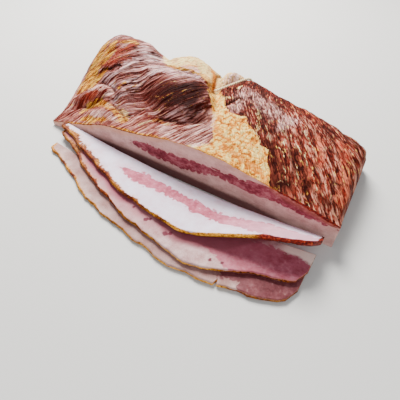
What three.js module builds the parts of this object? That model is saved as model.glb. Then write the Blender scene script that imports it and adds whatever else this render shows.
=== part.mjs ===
// Smoked streaky bacon: a slab of cured belly lying on its flat skin side, three slices
// fanned forward from its cut face, and the twine that pinches its back edge.
// Units are millimetres. +Z is up, +X runs along the cut face and +Y runs from the cut
// face into the slab. The finished group stands on z = 0 with its box centred on the axis.

import * as THREE from 'three';

// The cut face of the slab lies in the plane y = 0
const FACE_LEFT_X = -40;
const FACE_RIGHT_X = 250;

// Height of the cut face: thin at the left end, thickest past the middle, blunt at the right
const FACE_HEIGHTS = [
  [-40, 5], [0, 15], [35, 27], [70, 31.5], [105, 39], [148, 41.5], [190, 35], [228, 29], [250, 23],
];

// The back edge, as [x, y] seen from above, and the height of the top surface near it
const BACK_LEFT_X = -82;
const BACK_RIGHT_X = 247;
const BACK_EDGE = [
  [-82, 128], [-40, 136], [-6, 130], [24, 119], [54, 130],
  [86, 126], [112, 129], [150, 122], [200, 110], [247, 98],
];
const BACK_HEIGHTS = [
  [-82, 44], [-40, 50], [0, 46], [26, 42], [58, 46],
  [86, 42], [112, 43], [160, 38], [200, 34], [247, 28],
];

// How far the top crowns between its edges, and how far the soft cut face bulges out
const CROWN = 4;
const FACE_BULGE = 0.6;

// Rounding of the slab's own edges: reach from the edge and the share of height kept
// there. The left end is rounded furthest in at mid depth, by the extra reach.
const LEFT_ROUND = { reach: 24, keep: 0.4 };
const LEFT_EXTRA_REACH = 26;
const RIGHT_ROUND = { reach: 12, keep: 0.62 };
const BACK_ROUND = { reach: 20, keep: 0.5 };

// The relief fades out towards the cut face, whose rim keeps the heights given above, and
// the rounding of the ends fades in over this share of the depth
const RIM_FADE = { from: -4, to: 20 };
const END_FADE = 0.15;

// Muscles and fat that swell out of the top: the centre, the reach to the left, to the
// right and across, the turn in degrees, the height, and the powers of the flank at the
// left and at the right end (a low power is a steep flank). A muscle has a grain of coarse
// ridges: the way the fibres run in degrees, the spacing of the ridges and their depth.
const SWELLS = [
  {
    name: 'left muscle', x: 14, y: 78, left: 64, right: 56, across: 46, turn: -12, height: 7,
    power: [1.3, 1.3], grain: { run: 62, spacing: 16, depth: 1.2 },
  },
  {
    name: 'dark rounded muscle', x: 86, y: 53, left: 72, right: 34, across: 27, turn: -22, height: 15,
    power: [1.6, 0.55], grain: { run: 50, spacing: 15, depth: 0.9 },
  },
  {
    name: 'upper left bundle', x: 4, y: 106, left: 56, right: 32, across: 18, turn: 10, height: 4,
    power: [1, 1],
  },
  {
    name: 'second bundle', x: -14, y: 37, left: 30, right: 24, across: 11, turn: 16, height: 5,
    power: [1, 1],
  },
  { name: 'third bundle', x: 22, y: 13, left: 34, right: 30, across: 8, turn: 0, height: 4, power: [1, 1] },
  { name: 'fat hump', x: 60, y: 108, left: 34, right: 28, across: 20, turn: 2, height: 5, power: [1, 1] },
  {
    name: 'flap by the twine', x: 104, y: 114, left: 16, right: 12, across: 10, turn: 70, height: 3,
    power: [1, 1],
  },
  {
    name: 'right muscle', x: 184, y: 66, left: 60, right: 76, across: 48, turn: -14, height: 5,
    power: [1.2, 1.2], grain: { run: 124, spacing: 15, depth: 1.3 },
  },
];

// How far a furrow wanders off its line, and over what run, in spacings
const GRAIN_WANDER = 0.22;
const GRAIN_BEND = 1.9;

// Creases pressed into the top, each along a line of [x, y] points with a depth at each
const CREASES = [
  { name: 'pinched valley', line: [[91, 128], [93, 112], [99, 86]], depth: [1, 6, 11], width: 4 },
  { name: 'pit at the pinch', line: [[98, 87], [103, 79]], depth: [6, 6], width: 6 },
  { name: 'hollow under the twine', line: [[104, 83], [108, 93], [115, 112]], depth: [5, 8, 6], width: 4.5 },
  {
    name: 'foot of the dark muscle', line: [[108, 76], [121, 54], [122, 36], [108, 23], [80, 18]],
    depth: [2, 5, 6, 4, 2], width: 4.5,
  },
  { name: 'nick beside the fat', line: [[127, 60], [130, 71]], depth: [2, 2], width: 2.5 },
  {
    name: 'fold above the left muscle', line: [[-30, 60], [-2, 66], [8, 82], [28, 91], [36, 104], [30, 124]],
    depth: [2, 4, 4, 3, 4, 4], width: 3.5,
  },
  {
    name: 'front of the left muscle', line: [[-24, 56], [6, 47], [14, 38], [38, 22], [54, 12]],
    depth: [3, 4, 4, 3, 2], width: 4,
  },
  { name: 'fat valley', line: [[-34, 20], [-6, 23], [16, 32]], depth: [2, 3, 3], width: 4 },
];

// Mesh density of the slab: stations along it, rows over the top, up the face and down
// the back, and how much finer the rows over the top get towards the back
const SLAB_STATIONS = 88;
const TOP_ROWS = 34;
const FACE_ROWS = 3;
const BACK_ROWS = 3;
const ROW_EASING = 0.35;

// The back wall bulges out below its edge and tucks in where it meets the table
const BACK_BULGE = 2.5;
const BACK_TUCK = 3;

// The slices. They were cut just in front of the face, where the left end was a little
// thinner, and each lies forward with its skin side away from the viewer. Given from the
// table up: the ends, the skin edge as [x, y] seen from above, and the slope in degrees at
// which the slice rises to its smoked edge.
const SECTION_HEIGHTS = [
  [-40, 3], [0, 9], [20, 15], [48, 24], [72, 30], [105, 37], [148, 41], [190, 34.5], [228, 29], [250, 23],
];
const SLICE_THICKNESS = 3.6;
const GAP = 0.3;
const SLICES = [
  {
    name: 'slice_bottom', left: -10, right: 242, seed: 1,
    skin: [[-10, -22], [55, -29], [90, -32], [136, -31], [152, -35], [184, -38], [202, -36], [242, -34]],
    slope: [[-10, 0], [242, 0]],
  },
  {
    name: 'slice_middle', left: -14, right: 243, seed: 2,
    skin: [
      [-14, -6], [32, -12], [69, -19], [104, -22], [138, -25], [160, -30], [185, -30], [208, -23], [243, -18],
    ],
    slope: [[-14, 0], [243, 0]],
  },
  {
    name: 'slice_top', left: -18, right: 243, seed: 3,
    skin: [[-18, -1], [0, -2], [43, -6], [85, -9], [140, -11], [200, -9], [243, -5]],
    slope: [[-18, 2], [160, 3], [190, 16], [215, 30], [243, 38]],
  },
];

// The corners of a slice are rounded off: more at the smoked edge of its right end
const SLICE_LEFT_CORNER = { reach: 8, keep: 0.8 };
const SLICE_RIGHT_CORNER = { reach: 12, keep: 0.55 };

// Waves of the smoked edge, as height and length, how their start differs from slice to
// slice and from wave to wave in radians, and how far the edge bulges in the middle
const CRUST_WAVES = [[0.8, 70], [0.5, 33], [0.3, 19]];
const CRUST_START = 2.1;
const CRUST_SHIFT = 1.3;
const CRUST_BULGE = 0.9;
const SLICE_STATIONS = 58;
const SLICE_ROWS = 4;

// The twine spans the hollow in a straight line from over the pit at the pinch to the crest
// of the back edge, and lies on the slab from there, over the edge and down the back wall.
// Its points are [x, place over the section], where 1 is the back edge and 2 the foot of
// the back wall. They stand off the skin by the twine's radius and a clearance.
const TWINE_DIAMETER = 2.4;
const TWINE_SIDES = 8;
const TWINE_STEPS = 24;
const TWINE_PIT = [102.5, 0.62];
const TWINE_PIT_LIFT = 3.5;
const TWINE_RESTS = [
  [119, 0.885], [120, 0.93], [120, 0.965], [119.5, 1], [119, 1.25], [118.5, 1.5], [118, 1.7],
];
const TWINE_CLEARANCE = 0.8;

// The step over which the slope of the skin is measured, as a share of the slab
const PROBE = 0.004;

const { lerp, smoothstep, clamp, degToRad } = THREE.MathUtils;

// A smooth function through [x, value] pairs, level beyond both ends
function through(pairs) {
  const last = pairs.length - 1;
  const slopes = pairs.map((pair, i) => {
    const before = pairs[Math.max(i - 1, 0)];
    const after = pairs[Math.min(i + 1, last)];
    return (after[1] - before[1]) / (after[0] - before[0]);
  });
  return (x) => {
    if (x <= pairs[0][0]) return pairs[0][1];
    if (x >= pairs[last][0]) return pairs[last][1];
    const i = pairs.findIndex((pair) => pair[0] > x) - 1;
    const span = pairs[i + 1][0] - pairs[i][0];
    const rise = pairs[i + 1][1] - pairs[i][1];
    const t = (x - pairs[i][0]) / span;
    const early = slopes[i] * span - rise;
    const late = rise - slopes[i + 1] * span;
    return pairs[i][1] + rise * t + t * (1 - t) * (early * (1 - t) + late * t);
  };
}

const faceHeight = through(FACE_HEIGHTS);
const sectionHeight = through(SECTION_HEIGHTS);
const backEdgeY = through(BACK_EDGE);
const backHeight = through(BACK_HEIGHTS);

// A low arch from 0 at both ends of a depth to 1 in the middle
const arch = (v) => 4 * v * (1 - v);

// A quarter-round: the share kept on the edge itself, rising to 1 at the given reach
function edgeRound(distance, { reach, keep }) {
  const inward = clamp(distance / reach, 0, 1);
  return keep + (1 - keep) * Math.sqrt(1 - (1 - inward) ** 2);
}

// The height that a muscle or fat swells out at a point
function swellAt(x, y, swell) {
  const turn = degToRad(swell.turn);
  const along = (x - swell.x) * Math.cos(turn) + (y - swell.y) * Math.sin(turn);
  const across = (y - swell.y) * Math.cos(turn) - (x - swell.x) * Math.sin(turn);
  const reach = along < 0 ? swell.left : swell.right;
  const inside = 1 - (along / reach) ** 2 - (across / swell.across) ** 2;
  if (inside <= 0) return 0;
  const power = lerp(...swell.power, smoothstep(along, -swell.left, swell.right));
  const furrow = swell.grain ? grainAt(x, y, swell.grain) * Math.sqrt(inside) : 0;
  return swell.height * inside ** power - furrow;
}

// The depth of the furrow between two coarse ridges of muscle
function grainAt(x, y, { run, spacing, depth }) {
  const angle = degToRad(run);
  const over = x * Math.sin(angle) - y * Math.cos(angle);
  const along = x * Math.cos(angle) + y * Math.sin(angle);
  const wander = GRAIN_WANDER * spacing * Math.sin(along / (GRAIN_BEND * spacing));
  return depth * Math.sin(Math.PI * (over + wander) / spacing) ** 2;
}

// The depth of a crease at a point, from the nearest place on its line
function creaseAt(x, y, { line, depth, width }) {
  let nearest = Infinity;
  let deep = 0;
  for (let i = 0; i < line.length - 1; i += 1) {
    const [x0, y0] = line[i];
    const dx = line[i + 1][0] - x0;
    const dy = line[i + 1][1] - y0;
    const t = clamp(((x - x0) * dx + (y - y0) * dy) / (dx * dx + dy * dy), 0, 1);
    const distance = Math.hypot(x - x0 - t * dx, y - y0 - t * dy);
    if (distance < nearest) {
      nearest = distance;
      deep = lerp(depth[i], depth[i + 1], t);
    }
  }
  return deep * Math.exp(-((nearest / width) ** 2));
}

// A point of the slab seen from above: u runs along the slab, v from the cut face back
function planPoint(u, v) {
  const frontX = lerp(FACE_LEFT_X, FACE_RIGHT_X, u);
  const backX = lerp(BACK_LEFT_X, BACK_RIGHT_X, u);
  return { x: lerp(frontX, backX, v), y: v * backEdgeY(backX), frontX, backX };
}

// The height of the slab's top surface
function topHeight(u, v) {
  const { x, y, frontX, backX } = planPoint(u, v);
  let relief = CROWN * arch(v);
  for (const swell of SWELLS) relief += swellAt(x, y, swell);
  for (const crease of CREASES) relief -= creaseAt(x, y, crease);
  const level = lerp(faceHeight(frontX), backHeight(backX), smoothstep(v, 0, 1));
  const surface = level + relief * smoothstep(y, RIM_FADE.from, RIM_FADE.to);
  const length = FACE_RIGHT_X - FACE_LEFT_X;
  const leftReach = LEFT_ROUND.reach + LEFT_EXTRA_REACH * arch(v);
  const leftEnd = edgeRound(u * length, { ...LEFT_ROUND, reach: leftReach });
  const ends = leftEnd * edgeRound((1 - u) * length, RIGHT_ROUND);
  return surface * lerp(1, ends, smoothstep(v, 0, END_FADE)) * edgeRound(backEdgeY(backX) - y, BACK_ROUND);
}

// A point on the slab's skin: place runs from 0 at the cut face's rim over the top to 1 at
// the back edge, and on down the back wall to 2 at its foot
function skinPoint(u, place) {
  const { x, y } = planPoint(u, Math.min(place, 1));
  const height = topHeight(u, Math.min(place, 1));
  const drop = Math.max(place - 1, 0);
  const out = BACK_BULGE * Math.sin(drop * Math.PI) - BACK_TUCK * drop ** 3;
  return new THREE.Vector3(x, y + out, height * (1 - drop));
}

// One closed cross-section of the slab: up the cut face, over the top and down the back
function slabRing(u) {
  const ring = [];
  const front = planPoint(u, 0);
  const rim = topHeight(u, 0);
  for (let i = 0; i < FACE_ROWS; i += 1) {
    const rise = i / FACE_ROWS;
    ring.push(new THREE.Vector3(front.x, -FACE_BULGE * Math.sin(rise * Math.PI), rim * rise));
  }
  for (let i = 0; i <= TOP_ROWS; i += 1) {
    const t = i / TOP_ROWS;
    ring.push(skinPoint(u, lerp(t, Math.sin(t * Math.PI / 2), ROW_EASING)));
  }
  for (let i = 1; i <= BACK_ROWS; i += 1) ring.push(skinPoint(u, 1 + i / BACK_ROWS));
  return ring;
}

// The end of the slab: its whole outline filled in
function outlineCap(ring) {
  const outline = ring.map((p) => new THREE.Vector2(p.y, p.z));
  return THREE.ShapeUtils.triangulateShape(outline, []).map(([a, b, c]) => [a, c, b]);
}

// The end of a slice: its lower and upper row joined like a zip, up to the smoked edge
function zipCap(ring) {
  const last = ring.length - 1;
  const corners = [];
  for (let i = 0; i < last / 2 - 1; i += 1) {
    corners.push([i, i + 1, last - i]);
    corners.push([i + 1, last - i - 1, last - i]);
  }
  return [...corners, [last / 2 - 1, last / 2, last / 2 + 1]];
}

// A closed mesh through rings of equally many points that follow each other along +X,
// with the first and the last ring filled in. Seen from +X a ring runs clockwise. Each
// four-sided patch is split along its flatter diagonal, so that ridges stay whole.
function loft(rings, cap) {
  const size = rings[0].length;
  const points = rings.flat();
  const triangles = [];
  for (let i = 0; i < rings.length - 1; i += 1) {
    for (let j = 0; j < size; j += 1) {
      const [a, b] = [i * size + j, i * size + (j + 1) % size];
      const [c, d] = [b + size, a + size];
      const split = Math.abs(points[a].z - points[c].z) <= Math.abs(points[b].z - points[d].z);
      triangles.push(...(split ? [a, c, b, a, d, c] : [a, d, b, b, d, c]));
    }
  }
  const end = points.length - size;
  for (const [a, b, c] of cap(rings[0])) triangles.push(a, b, c);
  for (const [a, b, c] of cap(rings[rings.length - 1])) triangles.push(end + a, end + c, end + b);
  const geometry = new THREE.BufferGeometry();
  geometry.setAttribute('position', new THREE.Float32BufferAttribute(points.flatMap((p) => p.toArray()), 3));
  geometry.setIndex(triangles);
  geometry.computeVertexNormals();
  return geometry;
}

function slabGeometry() {
  const rings = [];
  for (let i = 0; i <= SLAB_STATIONS; i += 1) rings.push(slabRing(i / SLAB_STATIONS));
  return loft(rings, outlineCap);
}

// The uneven line of the smoked edge
function crustWave(x, seed) {
  return CRUST_WAVES.reduce((sum, [height, length], i) => (
    sum + height * Math.sin(2 * Math.PI * x / length + seed * (CRUST_START + CRUST_SHIFT * i))
  ), 0);
}

// A closed slice: its section's height becomes its width, laid down from the skin edge
function sliceGeometry({ left, right, skin, slope, seed }, layer) {
  const skinY = through(skin);
  const slopeAt = through(slope);
  const base = layer * (SLICE_THICKNESS + GAP);
  const rings = [];
  for (let i = 0; i <= SLICE_STATIONS; i += 1) {
    const x = lerp(left, right, i / SLICE_STATIONS);
    const corners = edgeRound(x - left, SLICE_LEFT_CORNER) * edgeRound(right - x, SLICE_RIGHT_CORNER);
    const width = sectionHeight(x) * corners + crustWave(x, seed);
    const tilt = degToRad(slopeAt(x));
    const at = (across, up) => new THREE.Vector3(
      x,
      skinY(x) - across * Math.cos(tilt) + up * Math.sin(tilt),
      base + across * Math.sin(tilt) + up * Math.cos(tilt),
    );
    const ring = [];
    for (let row = 0; row <= SLICE_ROWS; row += 1) ring.push(at(width * row / SLICE_ROWS, 0));
    ring.push(at(width + CRUST_BULGE, SLICE_THICKNESS / 2));
    for (let row = SLICE_ROWS; row >= 0; row -= 1) ring.push(at(width * row / SLICE_ROWS, SLICE_THICKNESS));
    rings.push(ring);
  }
  return loft(rings, zipCap);
}

// The middle of the twine where it lies on the slab, its radius and a gap off the skin
function onSkin([x, place]) {
  const v = Math.min(place, 1);
  const u = THREE.MathUtils.inverseLerp(planPoint(0, v).x, planPoint(1, v).x, x);
  const along = skinPoint(u + PROBE, place).sub(skinPoint(u - PROBE, place));
  const back = skinPoint(u, place + PROBE).sub(skinPoint(u, place - PROBE));
  const outward = along.cross(back).normalize();
  return skinPoint(u, place).addScaledVector(outward, TWINE_DIAMETER / 2 + TWINE_CLEARANCE);
}

// The twine: a round cord swept along its route
function twineGeometry() {
  const start = onSkin(TWINE_PIT);
  start.z += TWINE_PIT_LIFT;
  const rests = TWINE_RESTS.map(onSkin);
  const span = [0, 1 / 3, 2 / 3].map((t) => start.clone().lerp(rests[0], t));
  const route = new THREE.CatmullRomCurve3([...span, ...rests]);
  const section = new THREE.Shape();
  section.absarc(0, 0, TWINE_DIAMETER / 2, 0, 2 * Math.PI, false);
  return new THREE.ExtrudeGeometry(section, {
    steps: TWINE_STEPS,
    curveSegments: TWINE_SIDES / 2,
    extrudePath: route,
  });
}

const smokedCrust = new THREE.MeshStandardMaterial({ color: 0x8a4a34, roughness: 0.5, metalness: 0 });
const slicedFat = new THREE.MeshStandardMaterial({ color: 0xe6d2d2, roughness: 0.45, metalness: 0 });
const twineFibre = new THREE.MeshStandardMaterial({ color: 0xe2d0a6, roughness: 0.85, metalness: 0 });

const bacon = new THREE.Group();

function add(name, geometry, material) {
  const mesh = new THREE.Mesh(geometry, material);
  mesh.name = name;
  bacon.add(mesh);
}

add('slab', slabGeometry(), smokedCrust);
SLICES.forEach((slice, layer) => add(slice.name, sliceGeometry(slice, layer), slicedFat));
add('twine', twineGeometry(), twineFibre);

const box = new THREE.Box3().setFromObject(bacon);
const middle = box.getCenter(new THREE.Vector3());
bacon.position.set(-middle.x, -middle.y, -box.min.z);

export default bacon;
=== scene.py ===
# %% [markdown]
# # A slab of smoked streaky bacon
#
# This is a piece of cured pork belly that was smoked in one piece. It lies on its skin
# side. The smoke has turned its outside dark on the lean and golden on the fat, and a
# turn of twine has pinched its back edge. Its near side is freshly cut, and the slices
# that came off it lie fanned forward in the order in which they were cut.
#
# The solids of the frame give every size. What they lack is the surface: the fibres of
# the lean, the pebbles of the fat, the smoked edge and the marbling of the cut.

# %% Load the frame
import itertools
import math

import bmesh
import bpy
import numpy as np
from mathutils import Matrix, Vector
from mathutils.bvhtree import BVHTree


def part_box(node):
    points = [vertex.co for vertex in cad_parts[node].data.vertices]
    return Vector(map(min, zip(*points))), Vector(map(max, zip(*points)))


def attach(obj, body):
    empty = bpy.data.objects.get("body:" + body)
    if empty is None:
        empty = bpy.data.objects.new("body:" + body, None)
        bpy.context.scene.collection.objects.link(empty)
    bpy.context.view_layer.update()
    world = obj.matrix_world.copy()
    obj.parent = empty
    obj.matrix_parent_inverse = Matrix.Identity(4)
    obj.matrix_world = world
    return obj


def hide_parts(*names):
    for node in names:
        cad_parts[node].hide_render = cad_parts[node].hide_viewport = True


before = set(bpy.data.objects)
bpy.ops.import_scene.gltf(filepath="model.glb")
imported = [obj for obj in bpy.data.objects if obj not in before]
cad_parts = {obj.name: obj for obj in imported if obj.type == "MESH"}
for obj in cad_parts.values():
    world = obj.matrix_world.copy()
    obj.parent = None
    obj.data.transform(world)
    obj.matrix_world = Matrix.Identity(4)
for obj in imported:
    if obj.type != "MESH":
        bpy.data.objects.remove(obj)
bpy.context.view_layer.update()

MM = 0.001
SEED = 7
print("solids:", sorted(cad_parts))

# %% [markdown]
# ## Where things are
#
# Places on the meat are easier to name when they count from the meat itself. So all the
# places below are in millimetres from the cut face: x runs along the face, y from the
# face into the slab and z up. The slab's own box says where that corner lies. Its left
# end reaches 82 mm beyond the zero of x at the back, and the cut face bulges out by half
# a millimetre.

# %% The slab's own ruler
SLAB_LEFT = -82.0
FACE_BULGE = 0.52
slab_low, slab_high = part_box("slab")
HOME = np.array([slab_low.x / MM - SLAB_LEFT, slab_low.y / MM + FACE_BULGE, 0.0])
SLAB_RIGHT = slab_high.x / MM - HOME[0]


def to_world(points):
    """Places on the slab's ruler, in millimetres, as places in the scene, in metres."""
    return (np.asarray(points) + HOME) * MM


def to_ruler(points):
    """Places in the scene, in metres, as places on the slab's ruler, in millimetres."""
    return np.asarray(points) / MM - HOME


print("zero of the ruler at", np.round(HOME, 1), "mm, the slab ends at x =", round(SLAB_RIGHT, 1))

# %% [markdown]
# ## The camera and the light
#
# The picture was taken from in front and above, with the piece turned by a third of a
# right angle. A wide lens close by gives the same strong foreshortening of the slices.

# %% Camera
CAMERA_PLACE = (245.0, -172.0, 204.0)
CAMERA_TURN = 32.0
CAMERA_PITCH = 47.0
FOCAL_SHARE = 340.0 / 400.0
SENSOR = 36.0

camera_data = bpy.data.cameras.new("camera")
camera_data.sensor_width = SENSOR
camera_data.sensor_fit = "HORIZONTAL"
camera_data.lens = SENSOR * FOCAL_SHARE
camera_data.clip_start = 0.01
camera = bpy.data.objects.new("camera", camera_data)
bpy.context.scene.collection.objects.link(camera)
camera.location = to_world(CAMERA_PLACE)
camera.rotation_euler = (math.radians(90 - CAMERA_PITCH), 0, math.radians(CAMERA_TURN))
bpy.context.scene.camera = camera
print("camera at", [round(c, 3) for c in camera.location], "lens", camera_data.lens)

# %% [markdown]
# The light comes from a window behind the piece and a little to its left. It glances off
# the moist top towards the camera and leaves the cut face in soft shade. A weaker light
# in front keeps that shade open, and the pale room does the rest.


# %% Light and floor
def soft_light(name, place, target, size, power, colour):
    """A square area light at a place on the ruler, turned to a target."""
    data = bpy.data.lights.new(name, "AREA")
    data.size = size
    data.energy = power
    data.color = colour
    light = bpy.data.objects.new(name, data)
    bpy.context.scene.collection.objects.link(light)
    light.location = to_world(place)
    aim = Vector(to_world(target)) - light.location
    light.rotation_euler = aim.to_track_quat("-Z", "Y").to_euler()
    return light


SLAB_MIDDLE = (90.0, 40.0, 20.0)
soft_light(
    "window", place=(-310.0, 530.0, 760.0), target=SLAB_MIDDLE,
    size=0.45, power=36.0, colour=(1.0, 0.985, 0.96),
)
soft_light(
    "room", place=(520.0, -620.0, 620.0), target=SLAB_MIDDLE,
    size=1.1, power=4.5, colour=(0.96, 0.98, 1.0),
)
ROOM_COLOUR = (0.93, 0.96, 1.0, 1.0)
ROOM_STRENGTH = 0.42
FLOOR_COLOUR = (0.62, 0.61, 0.585, 1.0)
FLOOR_ROUGHNESS = 0.7
FLOOR_SIZE = 3.0

world = bpy.data.worlds.new("room")
world.use_nodes = True
world.node_tree.nodes["Background"].inputs["Color"].default_value = ROOM_COLOUR
world.node_tree.nodes["Background"].inputs["Strength"].default_value = ROOM_STRENGTH
bpy.context.scene.world = world

floor_mesh = bmesh.new()
bmesh.ops.create_grid(floor_mesh, x_segments=1, y_segments=1, size=FLOOR_SIZE)
floor_data = bpy.data.meshes.new("floor")
floor_mesh.to_mesh(floor_data)
floor_mesh.free()
floor = bpy.data.objects.new("floor", floor_data)
bpy.context.scene.collection.objects.link(floor)
floor_material = bpy.data.materials.new("pale_floor")
floor_material.use_nodes = True
floor_shader = floor_material.node_tree.nodes["Principled BSDF"]
floor_shader.inputs["Base Color"].default_value = FLOOR_COLOUR
floor_shader.inputs["Roughness"].default_value = FLOOR_ROUGHNESS
floor_data.materials.append(floor_material)

# %% [markdown]
# ## Noise, lines and patches
#
# Meat is uneven everywhere, but never by pure chance: fibres run in bundles, fat lies in
# pebbles, and smoke gathers along edges. Three tools draw all of this. Smooth noise
# gives the unevenness, at any size and stretched any way. A stroke marks what lies near
# a line, such as a crease. A patch marks what lies inside an outline, such as the fat
# between two muscles.


# %% Noise
def lattice(cell, seed):
    """A fixed random number from -1 to 1 for each cell of a lattice."""
    mixed = cell[..., 0] * 374761393 + cell[..., 1] * 668265263 + cell[..., 2] * 1440662683
    mixed = (mixed + (seed + SEED) * 974634777) & 0xFFFFFFFF
    mixed = ((mixed ^ (mixed >> 13)) * 1274126177) & 0xFFFFFFFF
    mixed = mixed ^ (mixed >> 16)
    return (mixed & 0xFFFF) / 32767.5 - 1


def noise(points, size, seed=0):
    """Smooth noise from -1 to 1. Size is in millimetres, one number or one an axis."""
    scaled = np.asarray(points) / size
    cell = np.floor(scaled).astype(np.int64)
    part = scaled - cell
    part = part * part * (3 - 2 * part)
    total = 0
    for corner in itertools.product((0, 1), repeat=3):
        weight = np.prod(np.where(corner, part, 1 - part), axis=-1)
        total = total + weight * lattice(cell + np.array(corner), seed)
    return total


def ease(value, low, high):
    """0 below low, 1 above high and a smooth step between. High may lie below low."""
    part = np.clip((value - low) / (high - low), 0, 1)
    return part * part * (3 - 2 * part)


# %% Strokes and patches
def distance_to(points, line):
    """How far each point lies from a line of [x, y] places, seen from above."""
    nearest = np.full(len(points), np.inf)
    for (x0, y0), (x1, y1) in zip(line[:-1], line[1:]):
        dx, dy = x1 - x0, y1 - y0
        along = ((points[:, 0] - x0) * dx + (points[:, 1] - y0) * dy) / (dx * dx + dy * dy)
        along = np.clip(along, 0, 1)
        gap = np.hypot(points[:, 0] - x0 - along * dx, points[:, 1] - y0 - along * dy)
        nearest = np.minimum(nearest, gap)
    return nearest


def stroke(points, line, width, soft=0.6):
    """1 on a line, falling to 0 at its width. Soft is the share of the width that fades."""
    return ease(distance_to(points, line), width, width * (1 - soft))


def depth_in(points, outline):
    """How far inside an outline each point lies, seen from above, or minus how far out."""
    inside = np.zeros(len(points), bool)
    closed = list(outline) + [outline[0]]
    x, y = points[:, 0], points[:, 1]
    for (x0, y0), (x1, y1) in zip(closed[:-1], closed[1:]):
        if y0 == y1:
            continue
        crosses = (y0 > y) != (y1 > y)
        inside ^= crosses & (x < (x1 - x0) * (y - y0) / (y1 - y0) + x0)
    gap = distance_to(points, closed)
    return np.where(inside, gap, -gap)


def patch(points, outline, soft):
    """1 inside an outline and 0 outside, fading over twice soft at its border."""
    return ease(depth_in(points, outline), -soft, soft)


def along_fibres(points, run):
    """Points with x turned along fibres that run at an angle in degrees, and y across."""
    angle = math.radians(run)
    turned = np.array(points, copy=True)
    turned[:, 0] = points[:, 0] * math.cos(angle) + points[:, 1] * math.sin(angle)
    turned[:, 1] = points[:, 1] * math.cos(angle) - points[:, 0] * math.sin(angle)
    return turned


# %% [markdown]
# ## The slab's skin
#
# The solid of the slab has the lobes and creases, but its facets are 3 to 4 mm wide, as
# wide as a bundle of fibres. One could subdivide it, but then every facet edge stays
# where it was. A fresh grid with cells under a millimetre is laid over it instead: each
# of its points is dropped from above onto the solid, and the heights are then smoothed
# just enough to lose the facets. The rim of the grid is drawn out down to the table for
# the walls, which makes one closed shape.

# %% Drop a grid on the solid
ACROSS = 400
DEEP = 188
DROP_FROM = 200.0
BEHIND = 400.0
WALL_LEVELS = range(1, 26, 2)
NEAR_FACE = 1.0
FAR_BACK = 20.0
FRONT_INSET = 0.02
BACK_BULGE = 2.5

slab_solid = bmesh.new()
slab_solid.from_mesh(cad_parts["slab"].data)
bmesh.ops.remove_doubles(slab_solid, verts=slab_solid.verts, dist=0.01 * MM)
slab_tree = BVHTree.FromBMesh(slab_solid)
foot = to_ruler([v.co for v in slab_solid.verts if v.co.z < 0.01 * MM])
slab_solid.free()

front_foot = foot[foot[:, 1] < NEAR_FACE]
back_foot = foot[foot[:, 1] > FAR_BACK]
front_ends = front_foot[:, 0].min(), front_foot[:, 0].max()
back_ends = back_foot[:, 0].min(), back_foot[:, 0].max()
print("cut face from", np.round(front_ends, 1), "back edge from", np.round(back_ends, 1))


def hit(start, way):
    """Where a ray meets the slab's solid, on the ruler."""
    found = slab_tree.ray_cast(Vector(to_world(start)), Vector(way))[0]
    return None if found is None else to_ruler(found)


skin = bmesh.new()
source = skin.verts.layers.int.new("source")
bmesh.ops.create_grid(skin, x_segments=ACROSS, y_segments=DEEP, size=0.5)
share = np.array([(v.co.x + 0.5, v.co.y + 0.5) for v in skin.verts])
column = np.rint(share[:, 0] * ACROSS).astype(int)
row = np.rint(share[:, 1] * DEEP).astype(int)


def furthest_back(x):
    """How far the back wall reaches at one place along it, at whatever height."""
    found = [hit((x, BEHIND, z), (0, -1, 0)) for z in WALL_LEVELS]
    return max(f[1] for f in found if f is not None)


END_INSET = 0.05
back_x = np.linspace(back_ends[0] + END_INSET, back_ends[1] - END_INSET, ACROSS + 1)
back_y = np.array([furthest_back(x) for x in back_x]) - BACK_BULGE
front_x = np.linspace(front_ends[0] + END_INSET, front_ends[1] - END_INSET, ACROSS + 1)

plan = np.zeros((ACROSS + 1, DEEP + 1, 3))
part = np.linspace(0, 1, DEEP + 1)
plan[:, :, 0] = front_x[:, None] * (1 - part) + back_x[:, None] * part
plan[:, :, 1] = np.maximum(back_y[:, None] * part, FRONT_INSET)
for i in range(ACROSS + 1):
    for j in range(DEEP + 1):
        found = hit((plan[i, j, 0], plan[i, j, 1], DROP_FROM), (0, 0, -1))
        plan[i, j, 2] = found[2]
print("top from", plan[:, :, 2].min().round(1), "to", plan[:, :, 2].max().round(1), "mm high")


# %% Lose the facets
def smooth_along(field, axis, times):
    """Averages a field with its neighbours along one axis, its ends kept."""
    for _ in range(times):
        moved = np.moveaxis(field, axis, 0)
        inner = (moved[:-2] + 2 * moved[1:-1] + moved[2:]) / 4
        moved[1:-1] = inner
    return field


SMOOTHING = 4
smooth_along(plan[:, :, 2], 0, SMOOTHING)
smooth_along(plan[:, :, 2], 1, SMOOTHING)

# %% [markdown]
# ## Muscles, fat and creases seen from above
#
# A map of the piece comes first, because both the relief and the colours follow it. The
# left half is one fan of muscle whose fibres run to the back and right. It ends in a
# dark rounded lobe. A wedge of fat parts it from the right muscle, whose fibres lean the
# other way. The pinch is where they all meet. The outlines are bent by noise, so that no
# border is a clean curve.

# %% The map
top = plan.reshape(-1, 3)
wander = np.stack([noise(top, 9.0, 1), noise(top, 9.0, 2), np.zeros(len(top))], axis=1)
fine_wander = np.stack([noise(top, 2.6, 3), noise(top, 2.6, 4), np.zeros(len(top))], axis=1)
bent = top + 1.6 * wander + 1.0 * fine_wander
flat = top * (1, 1, 0)

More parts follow.
